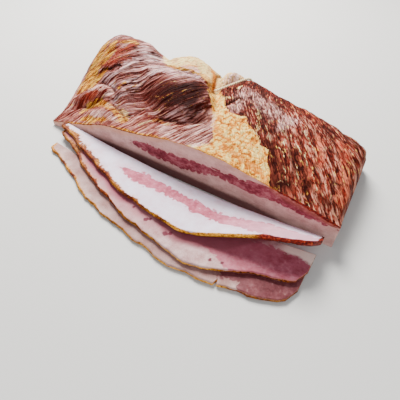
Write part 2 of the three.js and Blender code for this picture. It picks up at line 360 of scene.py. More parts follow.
PINCH = (101.0, 84.0)
FAT_WEDGE = [
    (99, 88), (108, 83), (117, 71), (125, 62), (132, 54), (142, 51), (150, 52), (155, 46), (163, 40),
    (173, 30), (182, 29), (184, 20), (191, 10), (200, -6), (120, -6), (131, 6), (139, 10), (139, 16),
    (134, 26), (126, 38), (118, 50), (109, 60), (103, 70),
]
FAT_HUMP = [
    (32, 96), (44, 91), (64, 93), (78, 92), (90, 88), (98, 82), (103, 90), (98, 98), (94, 106),
    (92, 114), (88, 122), (84, 140), (24, 140), (26, 112),
]
FLAP = [
    (97, 89), (102, 89), (107, 97), (112, 106), (116, 117), (117, 132), (90, 132), (92, 112),
    (95, 101),
]
RIGHT_MUSCLE = [
    (99, 96), (108, 85), (114, 72), (120, 58), (128, 46), (136, 34), (146, 24), (158, 12), (168, -8),
    (262, -8), (262, 140), (96, 140),
]

wedge = patch(bent, FAT_WEDGE, 1.4)
hump = patch(bent, FAT_HUMP, 2.2)
flap = patch(bent, FLAP, 1.6)
right = patch(bent, RIGHT_MUSCLE, 1.6)
left = 1 - right
print("share of fat on top:", round(float(np.maximum(wedge, hump).mean()), 2))

# %% [markdown]
# Fibres bend, so one angle for a whole muscle would look combed. A smooth surface is
# fitted to each muscle's samples instead: it stays level along the fibres and climbs by
# the same amount for each millimetre across them. Noise that follows it runs with the meat.

# %% The course of the fibres
# Each sample is a place on the meat and the angle at which its fibres run, in degrees
BODY_FIBRES = [
    (-60, 60, 15), (-16, 54, 18), (4, 57, 26), (18, 64, 36), (-20, 82, 38), (-8, 92, 39), (16, 50, 38),
    (23, 57, 42), (36, 46, 44), (41, 55, 24), (50, 58, 28), (64, 39, 14), (74, 41, 14), (70, 54, 26),
    (76, 61, 48), (88, 38, 30), (94, 43, 46), (98, 50, 62), (103, 33, 44), (108, 39, 60),
    (106, 53, 76), (107, 61, 80), (86, 75, 58), (60, 80, 34), (30, 82, 38), (0, 108, 40),
    (-50, 110, 38), (-80, 110, 36), (-80, 90, 30), (40, 120, 38), (-75, 60, 20),
]
FRONT_FIBRES = [
    (-60, 15, 80), (-11, 20, 76), (-5, 38, 66), (20, 10, 62), (32, 20, 58), (52, 16, 50), (60, 26, 50),
    (82, 8, 68), (86, 18, 68), (113, 6, 63), (118, 18, 62), (119, 42, 74),
]
RIGHT_FIBRES = [
    (196, 12, 119), (186, 28, 119), (208, 15, 126), (197, 29, 128), (217, 22, 128), (205, 35, 130),
    (158, 63, 125), (149, 77, 118), (183, 58, 132), (170, 74, 127), (230, 60, 136), (120, 100, 112),
    (240, 10, 130),
]
POWERS = [(a, total - a) for total in range(1, 5) for a in range(total, -1, -1)]
STIFFNESS = 0.05
SPAN = 100.0


def course_along(points, samples):
    """Points with x along the fibres and y across them, fitted to sampled angles."""
    x, y, angle = np.array(samples, float).T
    middle = np.array([x.mean(), y.mean()])
    u, v = (x - middle[0]) / SPAN, (y - middle[1]) / SPAN
    slope_u = np.stack([a * u ** max(a - 1, 0) * v**b for a, b in POWERS], axis=1)
    slope_v = np.stack([b * u**a * v ** max(b - 1, 0) for a, b in POWERS], axis=1)
    cosine, sine = np.cos(np.radians(angle))[:, None], np.sin(np.radians(angle))[:, None]
    still = slope_u * cosine + slope_v * sine
    crossing = slope_v * cosine - slope_u * sine
    stiff = STIFFNESS * np.diag([0.0 if a + b == 1 else 1.0 for a, b in POWERS])
    rows = np.concatenate([still, crossing, stiff])
    wanted = np.concatenate([np.zeros(len(x)), np.full(len(x), SPAN), np.zeros(len(POWERS))])
    weights = np.linalg.lstsq(rows, wanted, rcond=None)[0]
    u, v = (points[:, 0] - middle[0]) / SPAN, (points[:, 1] - middle[1]) / SPAN
    across = sum(weight * u**a * v**b for weight, (a, b) in zip(weights, POWERS))
    turned = along_fibres(points, angle.mean())
    turned[:, 1] = across
    return turned


# %% Strands
FRONT = [
    (-100, 58), (-26, 54), (-13, 52), (4, 47), (13, 42), (17, 31), (38, 21), (52, 14), (62, 26),
    (84, 22), (100, 24), (111, 29), (116, 40), (112, 54), (104, 74), (100, 88), (140, 60), (140, -10),
    (-100, -10),
]
front = patch(bent, FRONT, 2.0) * left
body = left * (1 - front)


def strands(turned, bundle, length, seed):
    """Bundles of fibres along a course: height from 0 to 1, and how near a furrow is."""
    wavy = np.array(turned, copy=True)
    sway = 0.8 * noise(turned, (34.0, 16.0, 50.0), seed)
    sway += 0.2 * noise(turned, (9.0, 4.0, 50.0), seed + 1)
    wavy[:, 1] += sway
    coarse = np.abs(noise(wavy, (length, bundle, 50.0), seed + 2))
    thin = np.abs(noise(wavy, (length * 0.6, bundle * 0.5, 50.0), seed + 3))
    furrow = 1 - np.clip(coarse / 0.22, 0, 1)
    fine_furrow = 1 - np.clip(thin / 0.26, 0, 1)
    height = 0.70 * (1 - furrow**1.4) + 0.30 * (1 - fine_furrow)
    return np.array([height, np.maximum(furrow, 0.6 * fine_furrow)]), wavy


body_strands, body_course = strands(course_along(flat, BODY_FIBRES), 2.6, 42.0, 10)
front_strands, front_course = strands(course_along(flat, FRONT_FIBRES), 2.5, 36.0, 20)
right_strands, right_course = strands(course_along(flat, RIGHT_FIBRES), 6.5, 44.0, 30)
strand_height, furrow = body_strands * body + front_strands * front + right_strands * right
RIB_GAP = 9.0
RIB_POWER = 0.7
RIB_FADE = (160.0, 190.0)
by_wedge = ease(depth_in(bent, FAT_WEDGE), -6.0, -1.5)
rib_phase = right_course[:, 1] / RIB_GAP + 0.22 * noise(right_course, (40.0, 12.0, 50.0), 34)
rib = (0.5 + 0.5 * np.cos(2 * math.pi * rib_phase)) ** RIB_POWER
rib = rib * right * (1 - by_wedge) * ease(flat[:, 0], *RIB_FADE)
print("share of the surface in furrows:", round(float((furrow > 0.5).mean()), 2))

# %% [markdown]
# Fat is soft, and the smoke has dried it into pebbles 2 to 4 mm wide with darker gaps.
# The nearest of a set of scattered points says which pebble a place is on, and the gap
# to the second nearest says how close it is to the pebble's border.


# %% Pebbles
def pebbles(points, size, seed):
    """0 in the gap between two pebbles, rising to 1 on top of one."""
    scaled = points / size
    scaled[:, 0] += 0.25 * noise(points, size, seed + 1)
    scaled[:, 1] += 0.25 * noise(points, size, seed + 2)
    cell = np.floor(scaled).astype(np.int64)
    nearest = np.full(len(points), 9.0)
    second = np.full(len(points), 9.0)
    for step in itertools.product((-1, 0, 1), repeat=2):
        there = cell + np.array([step[0], step[1], 0])
        spot_x = there[:, 0] + 0.5 + 0.42 * lattice(there, seed + 3)
        spot_y = there[:, 1] + 0.5 + 0.42 * lattice(there, seed + 4)
        gap = np.hypot(scaled[:, 0] - spot_x, scaled[:, 1] - spot_y)
        closer = gap < nearest
        second = np.where(closer, nearest, np.minimum(second, gap))
        nearest = np.where(closer, gap, nearest)
    return ease(second - nearest, -0.15, 0.6)


pebble = 0.6 * pebbles(flat, 5.2, 40) + 0.4 * pebbles(flat, 2.6, 50)
hump_pebble = 0.6 * pebbles(flat, 6.0, 60) + 0.4 * pebbles(flat, 2.8, 70)

# %% [markdown]
# A few creases are long enough to have a place of their own: the folds of the left muscle,
# the foot of the dark lobe, and the hollow that the twine lies over. Short folds fan out
# from the pinch.

# %% Creases and cracks
FOLD = [(-34, 62), (-21, 66), (-12, 67), (-3, 71)]
FOLD_END = [(-3, 71), (3, 83), (10, 86), (18, 91), (25, 95), (31, 100)]
LEFT_FRONT = [(-26, 54), (-13, 52), (4, 47), (13, 42), (17, 31), (38, 21), (52, 12)]
FAT_VALLEY = [(-34, 20), (-10, 24), (4, 34), (14, 37)]
LOBE_FOOT = [(92, 88), (103, 76), (110, 62), (115, 49), (117, 39), (112, 30), (102, 24), (84, 22)]
NOTCH = [(90, 128), (90, 112), (93, 100), (98, 88)]
FISSURE = [(126, 62), (127, 68), (130, 75)]
TWINE_HOLLOW = [(104, 86), (110, 96), (115, 108), (117, 116)]
CRACKS = [
    (FOLD, 2.2, 0.9), (FOLD_END, 1.2, 0.25), (LEFT_FRONT, 2.0, 1.1), (FAT_VALLEY, 2.2, 1.0),
    (LOBE_FOOT, 1.8, 1.2), (NOTCH, 2.2, 1.4), (FISSURE, 1.5, 1.6), (TWINE_HOLLOW, 4.0, 1.2),
    ([(16, 42), (24, 50), (38, 66)], 1.4, 1.0), ([(4, 56), (12, 68), (26, 84)], 1.2, 0.8),
    ([(26, 38), (40, 52), (52, 64)], 1.2, 0.8), ([(86, 8), (98, 20), (108, 26)], 1.3, 1.0),
    ([(112, 10), (120, 22), (128, 34)], 1.3, 0.9), ([(-22, 30), (-12, 38), (2, 44)], 1.2, 0.7),
]
# Painted shade in the cracks, stronger where a crack is deeper, up to a millimetre
crack_shade = np.zeros(len(top))
crack_depth = np.zeros(len(top))
for line, width, depth in CRACKS:
    mark = stroke(flat + 0.9 * wander, line, width, 1.0)
    crack_shade = np.maximum(crack_shade, min(depth, 1.0) * mark)
    crack_depth = np.maximum(crack_depth, depth * mark)

from_pinch = flat[:, :2] - PINCH
pinch_angle = np.degrees(np.arctan2(from_pinch[:, 1], from_pinch[:, 0]))
pinch_reach = np.hypot(from_pinch[:, 0], from_pinch[:, 1])
pinch_fade = ease(pinch_reach, 34.0, 6.0) * ease(pinch_reach, 1.0, 5.0)
pinch_fold = np.sin(np.radians(pinch_angle * 16 + 60 * noise(flat, 12.0, 80))) * pinch_fade

# %% [markdown]
# All of it adds up to one height for each point, along the slope of the skin. The relief
# weakens near the rims, which keeps the cut edge straight, and flattens under the twine.

# %% Raise the relief
LEAN_RELIEF = 1.4
RIGHT_RELIEF = 1.25
FAT_RELIEF = 0.85
HUMP_RELIEF = 0.7
RIB_RELIEF = 0.7
PINCH_RELIEF = 0.55
# Each swell of the surface has its height and its size in millimetres, and its seed
SWELLS = [(0.7, 22.0, 90), (0.35, 8.0, 91), (0.18, 2.2, 92)]

fat_here = np.maximum(np.maximum(wedge, hump), flap)
lean_here = 1 - fat_here
relief = (LEAN_RELIEF * left + RIGHT_RELIEF * right) * lean_here * (strand_height - 0.6)
relief += FAT_RELIEF * wedge * (pebble - 0.5) + HUMP_RELIEF * np.maximum(hump, flap) * (hump_pebble - 0.5)
relief += sum(height * noise(top, size, seed) for height, size, seed in SWELLS)
relief += RIB_RELIEF * rib
relief -= crack_depth
relief += PINCH_RELIEF * pinch_fold

TWINE_WAY = [(102, 83), (107, 92), (114, 104), (119, 116), (120, 130)]
TWINE_REACH = 5.0
TWINE_PRESS = 0.5
by_twine = stroke(flat, TWINE_WAY, TWINE_REACH, 0.5)
relief = relief * (1 - by_twine) - TWINE_PRESS * by_twine

RIM_KEEP = 0.35
station = np.arange(ACROSS + 1) * (SLAB_RIGHT - front_ends[0]) / ACROSS
from_end = np.minimum(station, station[-1] - station)[:, None]
from_rim = np.minimum(plan[:, :, 1], back_y[:, None] - plan[:, :, 1])
edge_gap = np.minimum(from_end, from_rim).reshape(-1)
relief *= RIM_KEEP + (1 - RIM_KEEP) * ease(edge_gap, 0.0, 2.5)

slope_x = np.gradient(plan[:, :, 2], axis=0) / np.gradient(plan[:, :, 0], axis=0)
slope_y = np.gradient(plan[:, :, 2], axis=1) / np.gradient(plan[:, :, 1], axis=1)
up = np.stack([-slope_x, -slope_y, np.ones_like(slope_x)], axis=2).reshape(-1, 3)
up /= np.linalg.norm(up, axis=1)[:, None]
up[:, :2] *= ease(edge_gap, 0.5, 4.0)[:, None]
raised = top + up * relief[:, None]
print("relief from", relief.min().round(2), "to", relief.max().round(2), "mm")

order = column * (DEEP + 1) + row
for vert, index, place in zip(skin.verts, order, to_world(raised[order])):
    vert[source] = int(index)
    vert.co = place

# %% [markdown]
# The walls are the rim of the grid, extruded again and again towards the table. Each new
# ring of points is pulled onto the solid's wall, so the back keeps its soft bulge and the
# cut face its slight one. One last face closes the underside.

# %% Walls and underside
WALL_ROWS = 14
FLAT_UNDER = 0.05

edges = [edge for edge in skin.edges if edge.is_boundary]
rim_of = {vert: vert.co.copy() for edge in edges for vert in edge.verts}
for step in range(1, WALL_ROWS + 1):
    drawn = bmesh.ops.extrude_edge_only(skin, edges=edges)["geom"]
    edges = [item for item in drawn if isinstance(item, bmesh.types.BMEdge) and item.is_boundary]
    lower = {}
    for vert in {vert for edge in edges for vert in edge.verts}:
        above = [edge.other_vert(vert) for edge in vert.link_edges]
        rim = rim_of[next(other for other in above if other in rim_of)]
        level = rim.z * (1 - step / WALL_ROWS)
        wall = slab_tree.find_nearest(Vector((rim.x, rim.y, max(level, FLAT_UNDER * MM))))[0]
        vert.co = (wall.x, wall.y, level)
        lower[vert] = rim
    rim_of = lower
bmesh.ops.contextual_create(skin, geom=edges)
bmesh.ops.recalc_face_normals(skin, faces=skin.faces)
open_edges = sum(not edge.is_manifold for edge in skin.edges)
print("slab skin:", len(skin.faces), "faces,", open_edges, "open edges")

# %% [markdown]
# ## The colours of the map
#
# Each colour of the smoked top lies in strokes, as if it were wiped on along the fibres.
# Gold is fat under the smoke, mauve is painted sheen where the moist lean shines, dark is
# lean that dried and also painted shade in the folds, in the hollow under the twine and on
# the front slope of the dark lobe, red is lean that stayed moist and cream is fat that the
# smoke hardly reached. The strokes are bent by the same noise as the borders.

# %% Strokes of colour
# Each stroke has its width in millimetres and its line
GOLD = [
    (7, [(-40, 93), (-37, 82), (-36, 72), (-35, 63), (-31, 52)]),
    (7, [(-39, 103), (-29, 88), (-28, 75)]), (6, [(-20, 64), (-27, 57), (-25, 45), (-28, 51)]),
    (7, [(-11, 17), (-8, 25), (0, 29), (19, 24), (37, 18), (50, 12)]), (5, [(0, 8), (15, 5), (31, 5)]),
    (5, [(-25, 102), (-14, 102), (-3, 100)]), (6, [(44, 89), (63, 92), (77, 94), (94, 89)]),
    (6, [(90, 99), (88, 109), (94, 91)]), (2.0, [(15, 45), (18, 48), (21, 51)]),
    (14, [(-62, 108), (-52, 90), (-46, 74), (-40, 60), (-38, 48)]),
]
# Mauve strokes are painted sheen: where the moist lean shines, its colour is painted lighter
SHEEN_STROKES = [
    (10, [(-10, 55), (-1, 64), (5, 78), (17, 87), (42, 79)]),
    (9, [(18, 37), (29, 45), (38, 55), (47, 65), (65, 73), (77, 88)]),
    (9, [(-1, 97), (12, 97), (22, 97), (30, 99)]), (12, [(-16, 40), (-8, 44), (2, 46), (8, 40)]),
    (6, [(10, 11), (20, 12), (34, 11), (44, 10)]), (9, [(96, 10), (115, 8), (129, 6), (136, 12)]),
    (9, [(114, 32), (121, 44), (130, 26), (122, 22)]),
    (9, [(106, 101), (110, 108), (108, 114), (106, 126)]),
    (10, [(30, 72), (46, 74), (60, 68), (76, 68), (88, 74)]), (9, [(46, 80), (60, 90), (74, 92)]),
    (9, [(92, 24), (110, 31), (122, 14), (106, 6)]), (5, [(20, 52), (34, 58), (48, 64)]),
    (6, [(-24, 74), (-8, 74), (6, 70)]),
    (11, [(135, 59), (133, 72), (132, 91), (144, 83), (154, 73), (167, 66)]),
    (9, [(149, 84), (164, 78), (177, 69), (178, 57), (185, 71)]),
]
RED = [
    (8, [(-20, 77), (-14, 84), (-7, 90), (-5, 97)]), (6, [(-30, 71), (-16, 73), (-5, 76), (2, 82)]),
    (7, [(-34, 91), (-20, 88), (-8, 88)]), (7, [(-36, 104), (-19, 102), (-9, 106)]),
    (9, [(-22, 26), (-16, 31), (-10, 34)]),
    (8, [(127, 110), (148, 106), (170, 99), (192, 91), (201, 86)]),
    (6, [(207, 35), (211, 29), (216, 24)]), (6, [(217, 27), (222, 22), (226, 17)]),
    (6, [(209, 62), (213, 51), (218, 38)]), (8, [(225, 70), (236, 50), (242, 20)]),
]
# The lobe's dark patch: dark dried lean, and painted shade on its front slope
DARK_LOBE = [
    (60, 46), (68, 51), (84, 51), (92, 56), (96, 67), (102, 72), (107, 62), (109, 56), (111, 47),
    (111, 38), (108, 33), (103, 31), (96, 29), (87, 29), (73, 31), (62, 33), (54, 36), (54, 41),
]
# Dark strokes: dark lean on the right muscle and a few dark spots, and painted shade in the folds, the
# fissure and the hollow under the twine
DARK = [
    (2.4, [(-24, 66), (-12, 67), (-3, 71)]), (1.6, [(27, 44), (32, 50), (38, 55)]),
    (1.6, [(7, 51), (16, 57), (24, 64)]), (1.6, [(34, 43), (46, 56), (58, 62)]),
    (4.0, [(117, 84), (121, 92), (121, 105)]), (2.2, [(125, 60), (127, 67), (131, 75)]),
    (12, [(186, 34), (196, 18), (206, 4)]), (11, [(203, 38), (217, 14)]), (4, [(166, 49), (171, 46)]),
    (4, [(173, 35), (179, 32)]), (4, [(174, 57), (172, 62)]),
]
CREAM = [
    (4, [(70, 12), (77, 18), (84, 21), (94, 19)]),
    (5, [(12, 29), (19, 24), (28, 23), (37, 22), (46, 19)]), (3, [(112, 64), (116, 72), (123, 70)]),
    (2.4, [(123, 96), (123, 89)]), (2.4, [(155, 66), (160, 54), (164, 42)]),
]
FLECKS = [
    (1.3, [(189, 34), (192, 32), (195, 27)]), (1.3, [(196, 46), (200, 42), (202, 39)]),
    (1.3, [(196, 63), (200, 59), (203, 55)]), (1.3, [(204, 53), (208, 49), (212, 44)]),
    (1.3, [(202, 29), (207, 24), (212, 17)]), (1.3, [(196, 22), (199, 18), (203, 12)]),
    (1.3, [(199, 6), (201, 9), (205, 9)]), (1.3, [(222, 2), (226, 1)]),
    (1.3, [(64, 40), (68, 39), (72, 38)]), (1.3, [(72, 52), (83, 51)]),
    (1.2, [(160, 55), (165, 46), (165, 40), (172, 32)]), (1.2, [(167, 53), (173, 44), (179, 36)]),
    (1.2, [(181, 54), (186, 48), (190, 38)]), (2.0, [(186, 36), (192, 32)]),
    (1.2, [(217, 29), (222, 22), (227, 15)]), (1.2, [(206, 41), (212, 32)]),
]
# Dusk is where every colour is darker: lean that dried darker, and painted shade where the lean lies in a
# dip
SHADE_AND_DRYING = [
    (28, [(50, 44), (64, 42), (80, 42), (102, 46)]), (7, [(10, 53), (20, 60), (34, 68)]),
    (6, [(16, 44), (28, 50), (44, 60)]), (5, [(-28, 64), (-12, 66), (-3, 70)]),
    (5, [(56, 24), (80, 20), (108, 25)]), (6, [(-24, 24), (-14, 31)]),
    (10, [(127, 110), (148, 106), (170, 99), (192, 91), (225, 75)]),
]
ORANGE = [
    (6, [(151, 11), (155, 11), (176, 8), (183, 7), (190, 3)]), (5, [(135, 30), (142, 22), (150, 20)]),
    (4, [(128, 44), (134, 38)]), (5, [(84, 112), (90, 102), (95, 93)]), (3, [(60, 94), (72, 98)]),
]


def strokes(lines):
    """1 on any of the lines, fading to 0 over the width of each."""
    return np.max([stroke(bent, line, width, 1.0) for width, line in lines], axis=0)


gold_rim = ease(top[:, 1] + 1.0 * noise(top, 3.0, 120), 2.2, 0.4) * ease(noise(top, 13.0, 121), -0.7, 0.1)
gold_rim *= 1 - 0.85 * ease(top[:, 0], 183.0, 196.0)
# The painted shade of the dark lobe deepens towards its right end
lobe_share = 0.5 + 0.5 * ease(top[:, 0], 52.0, 96.0)
paint = {
    "gold": np.maximum(strokes(GOLD), 0.9 * gold_rim * ease(top[:, 0], -30.0, 0.0)),
    # Painted sheen
    "painted_sheen": strokes(SHEEN_STROKES),
    "red": strokes(RED),
    "dark": np.maximum(strokes(DARK), patch(bent, DARK_LOBE, 6.0) * lobe_share),
    "cream": np.maximum(0.75 * strokes(CREAM), 0.6 * strokes(FLECKS)),
    # Painted shade and drying: every colour is darker under these strokes
    "shade_and_drying": strokes(SHADE_AND_DRYING),
    "rib": rib,
    "orange": strokes(ORANGE),
    # Painted shade in the furrows between strands and in the cracks
    "furrow": np.maximum(furrow * lean_here, crack_shade),
    "pebble": pebble * wedge + hump_pebble * (1 - wedge),
    "wedge": wedge,
    "fat": fat_here,
    "front": front,
    "right": right,
}
dark_by_wedge = 0.8 * by_wedge * right * lean_here * ease(top[:, 0], 165.0, 180.0)
paint["dark"] = np.maximum(paint["dark"], dark_by_wedge)
courses = {"body_course": body_course, "front_course": front_course, "right_course": right_course}
print({name: round(float(values.mean()), 2) for name, values in paint.items()})

# %% [markdown]
# The cut face shows what the slab is made of. From its foot upwards there is a soft, dark
# brown band near the skin, partly darker lean and mostly painted shade where the top slice
# stands close in front of the foot, then fat, the wine-red streak of lean and fat again. Both
# borders of the streak are lines along the face. Each point of the face keeps how many
# millimetres inside the streak it lies, so the paint can draw the border as sharply as it needs.

# %% The slab as an object
STREAK_TOP = [
    (66, 21), (68, 22.5), (75, 25), (85, 27), (97, 26), (107, 26), (119, 27), (128, 27.5), (136, 29),
    (150, 29), (163, 30), (173, 29), (181, 31), (190, 33.5), (198, 34), (204, 44),
]
STREAK_FOOT = [
    (235, 20), (225, 20), (214, 21), (198, 22), (189, 20), (176, 20), (163, 23), (150, 23.5),
    (138, 19), (128, 17), (118, 15), (106, 16), (96, 16), (84, 18), (76, 19), (70, 20.5),
]
STREAK = STREAK_TOP + [(250, 50), (250, 20)] + STREAK_FOOT
# The outline of the painted shade at the face's foot, over some darker lean near the skin: x along the face
# and height
FOOT_SHADE = [
    (-30, 6), (0, 9), (40, 12), (69, 13), (86, 13), (102, 12.5), (118, 12), (138, 11.5), (160, 11),
    (185, 11), (200, 9), (240, 2), (240, -9), (-30, -9),
]


def keep(data, name, values):
    """Keeps a number, or a place, at every point of a mesh for its paint to read."""
    values = np.asarray(values, dtype=np.float32)
    kind = "FLOAT" if values.ndim == 1 else "FLOAT_VECTOR"
    field = data.attributes.new(name, kind, "POINT")
    field.data.foreach_set("value" if values.ndim == 1 else "vector", values.reshape(-1))


def make_object(name, data, materials):
    """An object in the scene from a mesh, with its materials in order."""
    made = bpy.data.objects.new(name, data)
    bpy.context.scene.collection.objects.link(made)
    for material in materials:
        data.materials.append(material)
    return made


SHARP = math.radians(55)
RIM_NEAR = 0.3
FACE_NEAR = 0.6
FACING = -0.7
for edge in skin.edges:
    on_rim = max(vert.co.y for vert in edge.verts) < to_world((0, RIM_NEAR, 0))[1]
    under = max(vert.co.z for vert in edge.verts) < FLAT_UNDER * MM
    edge.smooth = not ((on_rim or under) and edge.calc_face_angle(0) > SHARP)
for face in skin.faces:
    face.smooth = True
    in_front = face.calc_center_median().y < to_world((0, FACE_NEAR, 0))[1]
    face.material_index = int(in_front and face.normal.y < FACING)

below = np.array([vert[source] for vert in skin.verts])
skin_points = to_ruler([vert.co for vert in skin.verts])
slab_data = bpy.data.meshes.new("slab_meat")
skin.to_mesh(slab_data)
skin.free()
fallen = raised[below, 2] - skin_points[:, 2]
on_wall = ease(fallen, 2.0, 14.0)
# On the walls the painted sheen fades, and every colour gets a share of the dusk darkening
for name, values in paint.items():
    share_kept = 1 - 0.7 * on_wall if name == "painted_sheen" else 1.0
    keep(slab_data, name, values[below] * share_kept + 0.55 * on_wall * (name == "shade_and_drying"))
for name, values in courses.items():
    keep(slab_data, name, values[below] + np.outer(fallen, (0, 0, 1)))
section = skin_points[:, [0, 2, 1]]
keep(slab_data, "streak", depth_in(section, STREAK))
# How deep inside the painted shade at the foot each point of the face lies
keep(slab_data, "shade_depth", depth_in(section, FOOT_SHADE))
keep(slab_data, "rim", fallen / (0.9 + 0.5 * noise(skin_points, 12.0, 130)))
keep(slab_data, "brown", ease(skin_points[:, 0], 150.0, 60.0))
keep(slab_data, "red_rim", ease(skin_points[:, 0], 185.0, 205.0))
keep(slab_data, "shade_and_blush", np.zeros(len(skin_points)))
keep(slab_data, "pale", np.zeros(len(skin_points)))
keep(slab_data, "low", np.zeros(len(skin_points)))
print("slab object:", len(slab_data.vertices), "points,", len(slab_data.attributes), "kept fields")

# %% [markdown]
# ## Paint
#
# The paint is made of nodes. A few short functions keep it readable: one adds a node with
# its inputs, and the others stand for the nodes that are used most.

# %% Tools for the paint
def add(tree, kind, inputs=None, **settings):
    """A shader node with its settings, and with values or other sockets as its inputs."""
    node = tree.nodes.new("ShaderNode" + kind)
    for name, value in settings.items():
        setattr(node, name, value)
    for name, value in (inputs or {}).items():
        if isinstance(value, bpy.types.NodeSocket):
            tree.links.new(value, node.inputs[name])
        else:
            node.inputs[name].default_value = value
    return node


def maths(tree, operation, first, second=0.0, clamp=False):
    """The result of one sum on two values."""
    return add(tree, "Math", {0: first, 1: second}, operation=operation, use_clamp=clamp).outputs[0]


def times(tree, first, second):
    """One value times another."""
    return maths(tree, "MULTIPLY", first, second)


def plus(tree, first, second, clamp=False):
    """The sum of two values."""
    return maths(tree, "ADD", first, second, clamp)


def minus(tree, first, second, clamp=False):
    """One value less another."""
    return maths(tree, "SUBTRACT", first, second, clamp)


def about(tree, value, weight, middle=0.5):
    """How far a value lies from its middle, times a weight."""
    return times(tree, minus(tree, value, middle), weight)


def mixture(tree, first, first_share, second, second_share):
    """The sum of a share of one value and a share of another."""
    first_part = times(tree, first, first_share)
    return plus(tree, first_part, times(tree, second, second_share))


def kept(tree, name):
    """A number that the mesh keeps at every point."""
    return add(tree, "Attribute", attribute_name=name).outputs["Fac"]


def course(tree, name):
    """A place that the mesh keeps at every point."""
    return add(tree, "Attribute", attribute_name=name).outputs["Vector"]


def levels(tree, value, low, high):
    """0 below low, 1 above high and a smooth step between."""
    inputs = {"Value": value, "From Min": low, "From Max": high}
    return add(tree, "MapRange", inputs, interpolation_type="SMOOTHSTEP").outputs[0]


def thin_line(tree, value, width):
    """1 on the thin lines where noise crosses its middle, fading to 0 at their width."""
    return levels(tree, maths(tree, "ABSOLUTE", minus(tree, value, 0.5)), width, 0.0)


def blend(tree, share, first, second, way="MIX"):
    """A mix of two colours, each a socket or its red, green and blue."""
    first, second = [(*colour, 1.0) if isinstance(colour, tuple) else colour for colour in (first, second)]
    return add(tree, "Mix", {0: share, 6: first, 7: second}, data_type="RGBA", blend_type=way).outputs[2]


def tinted(tree, colour, share, strength, tint, way="MIX"):
    """A colour with a share of a tint over it, at some strength."""
    return blend(tree, times(tree, share, strength), colour, tint, way)


def between(tree, share, first, second):
    """A mix of two numbers."""
    return add(tree, "Mix", {0: share, 2: first, 3: second}, data_type="FLOAT").outputs[0]


def grain(tree, place, size, detail=3.0, roughness=0.55):
    """Noise from 0 to 1. Size is in millimetres along each axis."""
    scaled = add(tree, "VectorMath", {0: place, 1: [1 / s for s in size]}, operation="MULTIPLY").outputs[0]
    inputs = {"Vector": scaled, "Scale": 1.0, "Detail": detail, "Roughness": roughness}
    return add(tree, "TexNoise", inputs).outputs[0]


def ramp(tree, share, stops):
    """A colour from a list of stops, each a share and its red, green and blue."""
    node = add(tree, "ValToRGB", {"Fac": share})
    elements = node.color_ramp.elements
    while len(elements) < len(stops):
        elements.new(0.5)
    for element, (place, colour) in zip(elements, stops):
        element.position = place
        element.color = (*colour, 1.0)
    return node.outputs["Color"]


def bump(tree, height, distance, strength=1.0, below_it=None):
    """A normal from a height of 0 to 1, with the distance in millimetres."""
    inputs = {"Height": height, "Distance": distance * MM, "Strength": strength}
    if below_it is not None:
        inputs["Normal"] = below_it
    return add(tree, "Bump", inputs).outputs[0]


def new_paint(name):
    """An empty paint: its material, tree and shader, and places in millimetres."""
    material = bpy.data.materials.new(name)
    material.use_nodes = True
    tree = material.node_tree
    local = add(tree, "TexCoord").outputs["Object"]
    place = add(tree, "VectorMath", {0: local, "Scale": 1 / MM}, operation="SCALE").outputs[0]
    return material, tree, tree.nodes["Principled BSDF"], place


# %% [markdown]
# The smoked skin starts from the fibres. The noise is stretched along the course of each
# muscle, so it draws thin lines that follow the strands of the relief. Each stroke of
# colour then breaks up along the same lines. The picture's tones press bright colours
# together, so the base colours are stronger than the meat's own and the shine is weak.

# %% Smoked skin
CHOCOLATE = (0.032, 0.003, 0.001)
MAROON = (0.10, 0.007, 0.004)
RED_BROWN = (0.24, 0.050, 0.038)
ROSE = (0.55, 0.22, 0.19)
# Light mauve and near white are the colours of the painted sheen on the lean
SHEEN_MAUVE = (0.90, 0.51, 0.50)
SHEEN_WHITE = (1.0, 0.77, 0.77)
WARMTH = (1.0, 0.90, 0.78)
SKIN_SHINE = 0.07


